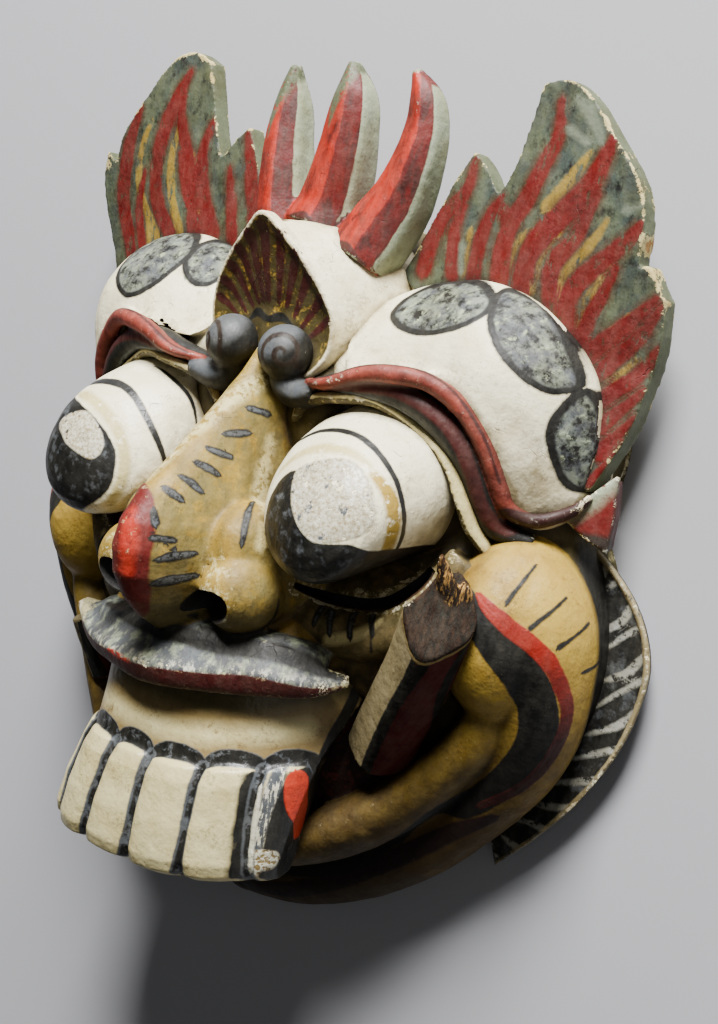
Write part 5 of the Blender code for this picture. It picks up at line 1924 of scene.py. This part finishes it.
def leaf_paint():
    coat = Coat("leaf_paint", "cream")
    paints = coat.paints
    coat.lay(paints.ochre, coat.inside("leaf_face", 1.4))
    coat.lay(paints.olive, coat.inside("leaf_face", 1.4), coat.spread(0.75, 4))
    coat.lay(paints.maroon, coat.mark("leaf_rays"), coat.spread(0.9, 2, 2))
    coat.lay(paints.black, coat.mark("moustache"))
    return coat.finish(wear=0.14, dirt=0.8, mottle=0.7, rub=paints.yellow, crack=0.2)


def brow_paint():
    coat = Coat("brow_paint", "pink")
    paints = coat.paints
    coat.stain(coat.bench.mix(0.5, paints.pink, paints.maroon), coat.spread(0.7, 5, 2, 0.12))
    coat.lay(paints.black, coat.inside("on_band"))
    coat.lay(paints.maroon, coat.mark("brow_groove", 0.5, 0.5))
    coat.lay(coat.bench.mix(0.5, paints.maroon, paints.black), coat.mark("ridge_end", 0.6))
    coat.lay(paints.maroon, coat.mark("ridge_edge"))
    coat.lay(paints.slate, coat.mark("band_line"), coat.spread(0.7, 2))
    coat.lay(paints.black, coat.inside("on_knobs"))
    # The knobs are black, lighter slate where they face up and out: partly dust, partly painted
    # highlight.
    coat.lay(paints.slate, coat.inside("on_knobs"), coat.facing((-0.2, 0.7, 0.68), 0.3, 0.62))
    coat.lay(paints.dark_wood, coat.mark("spiral"))
    return coat.finish(wear=0.06, dirt=0.8, mottle=0.6)


def socket_paint():
    coat = Coat("socket_paint", "yellow")
    paints = coat.paints
    coat.lay(paints.olive, coat.inside("low_side"), coat.spread(0.8, 3))
    return coat.finish(wear=0.14, dirt=0.8, mottle=0.8)


def eye_paint():
    coat = Coat("eye_paint", "cream", rag=0.3)
    paints = coat.paints
    coat.lay(paints.ochre, coat.mark("iris_side", 0.8), coat.spread(0.8, 4))
    coat.lay(paints.yellow, coat.mark("iris_arc", 0.8), coat.spread(0.85, 3))
    coat.lay(paints.black, coat.inside("pupil"))
    coat.stain(paints.slate, coat.inside("pupil", 1.2, 1.2), coat.spread(0.16, 4, 1, 0.1))
    chalk = coat.bench.mix(coat.spread(0.42, 1.1, 1, 0.16), paints.white, paints.gum)
    coat.lay(chalk, coat.inside("glint"), coat.spread(0.86, 3, 1, 0.03), lift=0.12)
    coat.stain(paints.slate, coat.inside("glint", 0.8), coat.spread(0.16, 4, 1.6, 0.03))
    coat.lay(paints.black, coat.mark("eye_ring"))
    return coat.finish(wear=0.0, dirt=0.75, rough=0.4, mottle=0.4, gloss=0.5)


def face_paint():
    coat = Coat("face_paint", "ochre")
    paints = coat.paints
    coat.stain(paints.olive, coat.inside("on_block"))
    coat.stain(paints.olive, coat.inside("on_beds"))
    coat.stain(paints.olive, coat.inside("on_bags"))
    coat.stain(paints.gum, coat.inside("on_bags"), coat.spread(0.3, 6, 1, 0.18))
    coat.stain(paints.yellow, coat.mark("bag_glow", 0.8))
    coat.stain(paints.maroon, coat.inside("on_floor"))
    coat.stain(paints.pink, coat.inside("on_floor"), coat.spread(0.3, 4))
    coat.lay(paints.white, coat.mark("mouth_dots"))
    coat.stain(paints.ochre, coat.inside("on_lower"))
    blots = coat.bench.times(coat.spread(0.5, 9, 1, 0.2), 0.6)
    coat.stain(paints.olive, coat.inside("on_lower"), blots)
    coat.stain(coat.bench.mix(0.15, paints.slate, paints.black), coat.inside("on_lips"))
    coat.stain(paints.pale_green, coat.inside("on_lips"), coat.spread(0.24, 5, 2, 0.1))
    coat.lay(
        paints.white, coat.inside("on_lips"), coat.mark("lip_line", 2, 2), coat.spread(0.34, 2.2, 2)
    )
    nose = coat.bench.sum("MAXIMUM", coat.inside("on_nose"), coat.inside("on_wings"))
    stains = coat.bench.times(coat.spread(0.5, 8, 1.8, 0.16), 0.6)
    coat.stain(paints.olive, nose, stains)
    # Painted shade: the nose's side facing +X goes grey-green.
    beside = coat.bench.times(coat.facing((1, 0, 0.1), 0.45, 0.9), 0.4)
    coat.stain(paints.moss, nose, beside, coat.spread(0.7, 6))
    # Painted shade: the nose goes olive where it faces down.
    under_nose = coat.bench.times(coat.facing((0, -1, 0.1), 0.2, 0.7), 0.8)
    coat.stain(paints.olive, nose, under_nose)
    coat.lay(paints.yellow, coat.mark("nose_crest", 1.4), coat.spread(0.6, 2.8))
    coat.lay(paints.red, coat.inside("tip"))
    coat.stain(paints.orange, coat.mark("tip_glow", 1.2), coat.spread(0.8, 5))
    coat.lay(paints.black, coat.mark("dashes", 0.3, 0.5))
    coat.lay(paints.slate, coat.mark("dashes", 0.3, -0.2), coat.spread(0.6, 2))
    coat.lay(paints.black, coat.mark("fine_lines"))
    # The wings' lower rims, partly painted shadow.
    coat.lay(paints.black, coat.mark("wing_edge", 0.6))
    # Painted shadow under the nose.
    coat.lay(paints.black, coat.mark("under_lip", 0.7))
    coat.lay(paints.maroon, coat.mark("jaw_line", 0.5))
    height = coat.bench.split(coat.where)[1]
    # Darker towards the bottom of the face, except on the lips: partly the jaw's dark paint, partly
    # painted shade.
    under = coat.bench.fade(height, -0.04, -0.125, 0.0, 0.8)
    coat.stain(paints.dark_wood, under, coat.bench.minus(1.0, coat.inside("on_lips")))
    # Painted shade on the cheeks' outer walls.
    coat.stain(paints.black, coat.mark("cheek_edge", 2.5))
    coat.lay(paints.black, coat.mark("cheek_black"))
    coat.lay(coat.bench.mix(0.45, paints.orange, paints.red), coat.mark("cheek_red"))
    coat.stain(paints.maroon, coat.mark("cheek_red"), coat.bench.fade(height, -0.025, -0.05))
    coat.lay(paints.maroon, coat.mark("lip_line", 0.3))
    coat.lay(paints.orange, coat.mark("lip_spark"), coat.spread(0.6, 1.6))
    return coat.finish(wear=0.02, dirt=0.85, mottle=0.7, crack=0.15, rub=paints.ivory)


def mouth_paint():
    coat = Coat("mouth_paint", "gum", rag=0.3)
    paints = coat.paints
    coat.stain(paints.ivory, coat.mark("gum_light", 2.4), coat.spread(0.9, 8))
    # Painted shadow of the upper lip on the gum.
    coat.stain(paints.olive, coat.mark("gum_dark", 2.4))
    # Painted shade: the gum's side wall facing +X goes black.
    coat.stain(paints.black, coat.facing((1, 0, -0.3), 0.86, 0.92))
    coat.stain(paints.ivory, coat.inside("on_teeth"))
    # The end tooth's side wall goes black: partly black paint, partly painted shade.
    coat.stain(paints.black, coat.inside("on_teeth"), coat.facing((0.95, 0, -0.3), 0.5, 0.6))
    coat.stain(paints.slate, coat.mark("tooth_grime", 0.5))
    coat.lay(paints.white, coat.mark("tooth_grime", 0.4), coat.spread(0.4, 1.2, 4, 0.02))
    coat.lay(paints.gum, coat.mark("tooth_worn", 0.6))
    coat.lay(paints.white, coat.mark("tooth_worn", 0.5), coat.spread(0.5, 1.6, 1, 0.02), lift=0.15)
    coat.lay(paints.slate, coat.mark("tooth_arches"))
    coat.lay(paints.black, coat.mark("tooth_arches", 0.25, -0.25), coat.spread(0.75, 3))
    coat.lay(paints.slate, coat.mark("tooth_cuts"))
    coat.lay(paints.black, coat.mark("tooth_cuts", 0.3, -0.9), coat.spread(0.62, 5))
    coat.lay(paints.white, coat.mark("tooth_white"), lift=0.1)
    coat.lay(paints.vermilion, coat.mark("tooth_red"), lift=0.12)
    # Black down the gum's sides: partly a painted line, partly painted shade.
    coat.lay(paints.black, coat.mark("gum_sides"))
    return coat.finish(wear=0.0, dirt=0.75, rough=0.42, mottle=0.5, gloss=0.45, crack=0.0)


def tusk_paint():
    coat = Coat("tusk_paint", "bone")
    paints, bench = coat.paints, coat.bench
    coat.lay(paints.black, coat.facing((0.79, -0.55, 0.25), 0.24, 0.3))
    coat.stain(paints.maroon, coat.facing((0.79, -0.55, 0.25), 0.6, 0.68))
    coat.lay(paints.black, coat.mark("tusk_lines"))
    timber = bench.group(bare_wood, paints.old_wood, paints.dark_wood, coat.where)
    coat.lay(paints.gum, coat.along("broken", -0.9, 0.2, 0.2))
    end = coat.inside("broken", 0.0, 0.2)
    coat.stain(bench.mix(0.8, timber[0], paints.dark_wood), end)
    coat.lay(paints.black, end, coat.spread(0.4, 1.2, 8, 0.12), lift=-0.25)
    coat.height = bench.times_plus(bench.times(timber[1], end), 0.6, coat.height)
    splinter = coat.inside("on_splinter", 0.1, 0.2)
    coat.stain(paints.dark_wood, splinter)
    coat.lay(paints.wood, splinter, coat.spread(0.34, 1.1, 6, 0.06), lift=0.2)
    return coat.finish(
        wear=0.0, dirt=0.75, rough=0.72, mottle=0.6, crack=0.0, rub=paints.old_wood, gloss=0.1
    )


def ruff_paint():
    coat = Coat("ruff_paint", "black", rag=0.5)
    paints = coat.paints
    coat.stain(paints.slate, coat.spread(0.14, 6, 1, 0.1))
    chalk = coat.bench.mix(0.35, paints.slate, paints.white)
    coat.lay(chalk, coat.mark("ruff_strokes", 0.4), coat.spread(0.7, 2.4))
    coat.stain(paints.bone, coat.inside("on_rim"), coat.spread(0.8, 5))
    coat.stain(paints.maroon, coat.inside("on_ears"))
    coat.stain(paints.red, coat.inside("on_ears"), coat.facing((0, 0.2, 1), 0.5, 0.75))
    coat.lay(paints.pale_green, coat.mark("ear_worn", 2), coat.spread(0.75, 3))
    coat.stain(paints.dark_wood, coat.mark("ear_low", 0.8))
    return coat.finish(wear=0.1, dirt=0.75, mottle=0.7)


# ---- the pieces -------------------------------------------------------------------------------
def settle(piece, material, worn=(), stained=(), pale=()):
    """Finishes a piece: its wear, its place, its smooth skin, its paint and what it rides on."""
    edge_wear(piece)
    keep(piece, "facing", points_of(piece)[1])
    # The darkening spots hold stains and painted shade.
    for name, places in (("worn", worn), ("stained", stained), ("pale", pale)):
        spots(piece, name, places)
    piece.data.vertices.foreach_set("co", (drawn_in(points_of(piece)[0]) * UNIT).ravel())
    piece.data.transform(Matrix.Translation([-part * UNIT for part in MIDDLE]))
    take(piece)
    bpy.ops.object.shade_smooth_by_angle(angle=bpy.context.scene.mask_sizes.smooth_angle)
    piece.data.materials[0] = material
    piece.data.materials[1] = carved_wood()
    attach(piece, "root")
    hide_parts("mask")


class MASK_OT_crown(bpy.types.Operator):
    """Carve and paint the two flame boards of the crown"""

    bl_idname = "mask.crown"
    bl_label = "Crown boards"

    def execute(self, context):
        piece = carve("crown", crown(), 9, 0.3, "crown_cell")
        lay_all(
            piece, tongues=LEFT_TONGUES + RIGHT_TONGUES, ochre_tongues=LEFT_OCHRE + RIGHT_OCHRE,
            scraped=SCRAPED,
        )
        settle(piece, crown_paint(), CROWN_BREAKS, CROWN_SHADE)
        return {"FINISHED"}


class MASK_OT_horns(bpy.types.Operator):
    """Carve and paint the three thorns between the boards"""

    bl_idname = "mask.horns"
    bl_label = "Horns"

    def execute(self, context):
        piece = carve("horns", horns(), 7, 0.25)
        tips, feet = [], []
        for path in HORN_PATHS:
            tips.append((tuple(path[-3:]), (0.6, 4.2, 5.4)))
            # A lens of painted shade at each horn's foot.
            foot = path[0] + np.array(((-8, 1, 8), (0, -0.5, 8), (8, -2, 6)))
            feet.append((foot.tolist(), (1, 3.4, 1)))
        lay_all(piece, horn_tips=tips[1:], horn_feet=feet)
        settle(piece, horn_paint())
        return {"FINISHED"}


class MASK_OT_forehead(bpy.types.Operator):
    """Carve and paint the domes of the forehead with their petals"""

    bl_idname = "mask.forehead"
    bl_label = "Forehead domes"

    def execute(self, context):
        piece = carve("forehead", lobes() + filling(), 14, 0.4)
        patch(piece, "petals", LEFT_PETALS + RIGHT_PETALS)
        lay(piece, "petal_strokes", twice(PETAL_STROKES))
        settle(piece, lobe_paint(), stained=LOBE_SHADE)
        return {"FINISHED"}


class MASK_OT_leaf(bpy.types.Operator):
    """Carve and paint the leaf over the brows and the cone behind it"""

    bl_idname = "mask.leaf"
    bl_label = "Leaf and cone"

    def execute(self, context):
        piece = carve("leaf", bulb() + leaf(), 10, 0.35)
        patch(piece, "leaf_face", [half_outline(LEAF_OUTLINE)])
        lay_all(piece, leaf_rays=LEAF_RAYS, moustache=MOUSTACHE)
        settle(piece, leaf_paint(), LEAF_WORN, LEAF_SHADE)
        return {"FINISHED"}


class MASK_OT_brows(bpy.types.Operator):
    """Carve and paint the brow ridges, the bands under them and the two knobs"""

    bl_idname = "mask.brows"
    bl_label = "Brows"

    def execute(self, context):
        piece = carve("brows", ridge() + band() + knobs(), 8, 0.2)
        zones(piece, ridge=ridge(), band=band(), knobs=knobs())
        lay_all(
            piece, spiral=twice([knob_spiral()]), brow_groove=twice([BROW_GROOVE]),
            ridge_edge=twice([RIDGE_EDGE]), ridge_end=twice(RIDGE_END), band_line=twice([BAND_LINE]),
        )
        settle(piece, brow_paint(), stained=BROW_SHADE)
        return {"FINISHED"}


class MASK_OT_eyes(bpy.types.Operator):
    """Carve and paint the bulging eyes"""

    bl_idname = "mask.eyes"
    bl_label = "Eyes"

    def execute(self, context):
        piece = carve("eyes", eyeballs(), 12, 0.25)
        patch(piece, "pupil", PUPILS, -0.9)
        patch(piece, "glint", GLINTS)
        lay_all(piece, eye_ring=EYE_RINGS, iris_arc=IRIS_ARCS, iris_side=IRIS_SIDES)
        settle(piece, eye_paint(), EYE_CHIPS, EYE_SHADE)
        return {"FINISHED"}


class MASK_OT_sockets(bpy.types.Operator):
    """Carve and paint the rolled rims round the eyes"""

    bl_idname = "mask.sockets"
    bl_label = "Socket rims"

    def execute(self, context):
        piece = carve("sockets", sockets(), 8, 0.2)
        keep(piece, "low_side", -4 * points_of(piece)[1][:, 1] - 1)
        settle(piece, socket_paint())
        return {"FINISHED"}


class MASK_OT_face(bpy.types.Operator):
    """Carve the head with its hollow back, and paint its nose, lips, cheeks and jaw"""

    bl_idname = "mask.face"
    bl_label = "Face and back"

    def execute(self, context):
        forms = {
            "block": head_block(), "beds": beds(), "bags": bags(), "nose": nose(), "wings": wings(),
            "lips": upper_lip(), "cheeks": cheeks(), "lower": lower_lip(),
            "floor": [ball((0, -66, 10), (74, 46, 40))],
        }
        everything = [form for group in forms.values() for form in group]
        piece = carve("face", everything, 12, 0.35, "face_cell")
        zones(piece, **forms)
        patch(piece, "tip", NOSE_TIP)
        lay_all(
            piece, tip_glow=TIP_GLOW, nose_crest=NOSE_CREST,
            dashes=twice(NOSE_DASHES + NOSE_STROKE + BAG_DASHES),
            fine_lines=twice(CHEEK_LINES + BAG_CRACK), bag_glow=twice([BAG_GLOW]),
            wing_edge=twice([WING_EDGE]), under_lip=[UNDER_NOSE], mouth_dots=twice(MOUTH_DOTS),
            cheek_edge=twice([CHEEK_EDGE]), cheek_black=twice([CHEEK_BLACK]),
            cheek_red=twice([CHEEK_RED]), lip_line=[LIP_LINE], lip_spark=LIP_SPARK,
            jaw_line=twice([JAW_LINE]),
        )
        settle(piece, face_paint(), FACE_WORN, FACE_SHADE, FACE_PALE)
        return {"FINISHED"}


class MASK_OT_mouth(bpy.types.Operator):
    """Carve and paint the gum and the row of teeth"""

    bl_idname = "mask.mouth"
    bl_label = "Gum and teeth"

    def execute(self, context):
        piece = carve("mouth", gum() + teeth(), 9, 0.25)
        zones(piece, gum=gum(), teeth=teeth())
        lay_all(piece, tooth_cuts=tooth_cuts(), tooth_arches=tooth_arches(), **MOUTH_MARKS)
        settle(piece, mouth_paint(), stained=MOUTH_SHADE)
        return {"FINISHED"}


class MASK_OT_tusks(bpy.types.Operator):
    """Carve and paint the long broken tusk, its splinter and the other one's stump"""

    bl_idname = "mask.tusks"
    bl_label = "Tusks"

    def execute(self, context):
        piece = carve("tusks", tusks() + splinter(), 7, 0.2)
        zones(piece, tusks=tusks(), splinter=splinter())
        beyond = (points_of(piece)[0] - TUSK_TOP) @ TUSK_FACE / np.linalg.norm(TUSK_FACE)
        keep(piece, "broken", beyond + 1)
        lay(piece, "tusk_lines", TUSK_LINES)
        settle(piece, tusk_paint())
        return {"FINISHED"}


class MASK_OT_ruffs(bpy.types.Operator):
    """Carve and paint the striped ruffs and the small ears behind the cheeks"""

    bl_idname = "mask.ruffs"
    bl_label = "Ruffs and ears"

    def execute(self, context):
        piece = carve("ruffs", ruffs() + ears(), 7, 0.2)
        forms = ruffs()
        zones(piece, ruff=forms[:2], rim=forms[2:], ears=ears())
        lay_all(
            piece, ear_worn=twice([(((99, 21, 27), (105, 25, 25), (111, 33, 22)), (3.4, 3, 2.4))]),
            ear_low=twice([(((107, 15, 24), (111, 12, 22), (114, 9, 20)), (1.5, 4, 5))]),
            ruff_strokes=twice(ruff_strokes()),
        )
        settle(piece, ruff_paint())
        return {"FINISHED"}


SEAM_REACH = 6.0
SKY_RAYS, SKY_REACH = 24, 0.06


class MASK_OT_age(bpy.types.Operator):
    """Find the seams and hollows of the finished mask, where grime gathers and shade is painted"""

    bl_idname = "mask.age"
    # Ageing here means grime and painted shade in the seams and hollows.
    bl_label = "Age the mask"

    def execute(self, context):
        meshes = [made for made in context.scene.objects if made.type == "MESH"]
        pieces = [made for made in meshes if "worn" in made.data.attributes]
        skins = {}
        for piece in pieces:
            mesh = bmesh.new()
            mesh.from_mesh(piece.data)
            skins[piece] = BVHTree.FromBMesh(mesh)
            mesh.free()
        shade_at = light_reaching(frame["nodes"]["mask"])
        for piece in pieces:
            count = len(piece.data.vertices)
            points = np.empty(count * 3, np.float32)
            piece.data.vertices.foreach_get("co", points)
            places = points.reshape(-1, 3).tolist()
            nearest = np.full(count, SEAM_REACH)
            for other, skin in skins.items():
                if other is not piece:
                    hits = [skin.find_nearest(place, SEAM_REACH * UNIT)[3] for place in places]
                    hits = [SEAM_REACH if hit is None else hit / UNIT for hit in hits]
                    nearest = np.minimum(nearest, hits)
            # The share of open sky at each place, which darkens the paint as painted shade.
            open_sky = np.array([shade_at(place) for place in places])
            keep(piece, "hidden", np.stack([nearest, open_sky, 0 * nearest], 1))
        for tool in [made for made in bpy.data.objects if made.name.startswith("cut_")]:
            bpy.data.objects.remove(tool)
        return {"FINISHED"}


def light_reaching(solid):
    """A function that gives the share of open sky over a place, read from the plain solid."""
    mesh = bmesh.new()
    mesh.from_mesh(solid.data)
    bmesh.ops.remove_doubles(mesh, verts=mesh.verts, dist=1e-6)
    bmesh.ops.triangulate(mesh, faces=mesh.faces)
    bmesh.ops.subdivide_edges(mesh, edges=[e for e in mesh.edges if e.calc_length() > 0.008], cuts=1)
    mesh.normal_update()
    skin = BVHTree.FromBMesh(mesh)
    turn = math.pi * (3 - math.sqrt(5))
    rays = []
    for k in range(SKY_RAYS):
        up = 1 - (k + 0.5) / SKY_RAYS * 0.93
        wide = math.sqrt(1 - up * up)
        rays.append(Vector((wide * math.cos(turn * k), wide * math.sin(turn * k), up)))
    places = KDTree(len(mesh.verts))
    share = []
    for k, vertex in enumerate(mesh.verts):
        places.insert(vertex.co, k)
        to_normal = Vector((0, 0, 1)).rotation_difference(vertex.normal)
        start = vertex.co + vertex.normal * 0.0006
        free = sum(skin.ray_cast(start, to_normal @ ray, SKY_REACH)[0] is None for ray in rays)
        share.append(free / len(rays))
    places.balance()
    mesh.free()

    def at(place):
        found = places.find_n(place, 3)
        weights = [1 / (away + 0.001) for _, _, away in found]
        return sum(share[k] * w for (_, k, _), w in zip(found, weights)) / sum(weights)

    return at


# ---- the stage --------------------------------------------------------------------------------
CAMERA_AT = (355.65, 74.87, 466.70)
CAMERA_RIGHT = (0.77333063, 0.17458794, -0.6094906)
CAMERA_UP = (-0.21493506, 0.97660301, 0.00703414)
CAMERA_LENS = 59.77
FLOOR_SHADE, FLOOR_ROUGH = (158, 158, 161), 0.8
SKY_SHADE, SKY_STRENGTH = (214, 216, 220), 0.08
LIGHTS = {"key": ((0.25, 1.36, 0.78), 0.6, 122), "fill": ((1.3, 0.1, 1.1), 1.4, 3.5)}
AIM = Vector((0, 0, 0.03))


def soft_light(name, place, size, power):
    """A square soft light at a place in metres, turned to the mask."""
    bpy.ops.object.light_add(type="AREA", location=place)
    made = bpy.context.object
    made.name = name
    made.data.energy, made.data.size = power, size
    made.rotation_euler = (AIM - Vector(place)).to_track_quat("-Z", "Y").to_euler()


class MASK_OT_stage(bpy.types.Operator):
    """Set the plain floor, the soft lights and the camera"""

    bl_idname = "mask.stage"
    bl_label = "Stage"

    def execute(self, context):
        bpy.ops.object.select_all(action="DESELECT")
        bpy.ops.mesh.primitive_plane_add(size=context.scene.mask_sizes.floor_side)
        floor = context.object
        floor.name = "floor"
        bench, shader = new_material("floor")
        bench.feed(shader.inputs["Base Color"], shade(*FLOOR_SHADE))
        bench.feed(shader.inputs["Roughness"], FLOOR_ROUGH)
        floor.data.materials.append(bpy.data.materials["floor"])
        floor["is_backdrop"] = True
        for name, (place, size, power) in LIGHTS.items():
            soft_light(name, place, size, power)
        world = bpy.data.worlds.new("studio")
        world.use_nodes = True
        sky = world.node_tree.nodes["Background"].inputs
        sky["Color"].default_value, sky["Strength"].default_value = shade(*SKY_SHADE), SKY_STRENGTH
        context.scene.world = world
        right, up = Vector(CAMERA_RIGHT), Vector(CAMERA_UP)
        turned = Matrix((right, up, right.cross(up))).transposed().to_4x4()
        place = (Vector(CAMERA_AT) - Vector(MIDDLE)) * UNIT
        data = bpy.data.cameras.new("camera")
        data.lens, data.sensor_width, data.clip_start = CAMERA_LENS, 36.0, 0.01
        camera = bpy.data.objects.new("camera", data)
        context.scene.collection.objects.link(camera)
        camera.matrix_world = Matrix.Translation(place) @ turned
        context.scene.camera = camera
        return {"FINISHED"}


PIECES = (
    MASK_OT_face, MASK_OT_crown, MASK_OT_horns, MASK_OT_forehead, MASK_OT_leaf, MASK_OT_brows,
    MASK_OT_sockets, MASK_OT_eyes, MASK_OT_mouth, MASK_OT_tusks, MASK_OT_ruffs, MASK_OT_age,
    MASK_OT_stage,
)


class MASK_PT_bench(bpy.types.Panel):
    """The carver's bench: sizes, paints and the pieces in the order of work"""

    bl_idname = "MASK_PT_bench"
    bl_label = "Barong mask"
    bl_space_type = "VIEW_3D"
    bl_region_type = "UI"
    bl_category = "Mask"

    def draw(self, context):
        for made in PIECES:
            self.layout.operator(made.bl_idname)
        for group in (context.scene.mask_sizes, context.scene.mask_paints):
            for name in group.__annotations__:
                self.layout.prop(group, name)


CLASSES = (MaskSizes, MaskPaints, *PIECES, MASK_PT_bench)


def register():
    for made in CLASSES:
        bpy.utils.register_class(made)
    bpy.types.Scene.mask_sizes = bpy.props.PointerProperty(type=MaskSizes)
    bpy.types.Scene.mask_paints = bpy.props.PointerProperty(type=MaskPaints)


def unregister():
    del bpy.types.Scene.mask_paints
    del bpy.types.Scene.mask_sizes
    for made in reversed(CLASSES):
        bpy.utils.unregister_class(made)


def main():
    register()
    for made in PIECES:
        group, name = made.bl_idname.split(".")
        getattr(getattr(bpy.ops, group), name)()
    sizes = {"cad": CAD_BOX, "visual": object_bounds()}
    {name: [list(corner) for corner in box] for name, box in sizes.items()}


if __name__ == "__main__":
    main()
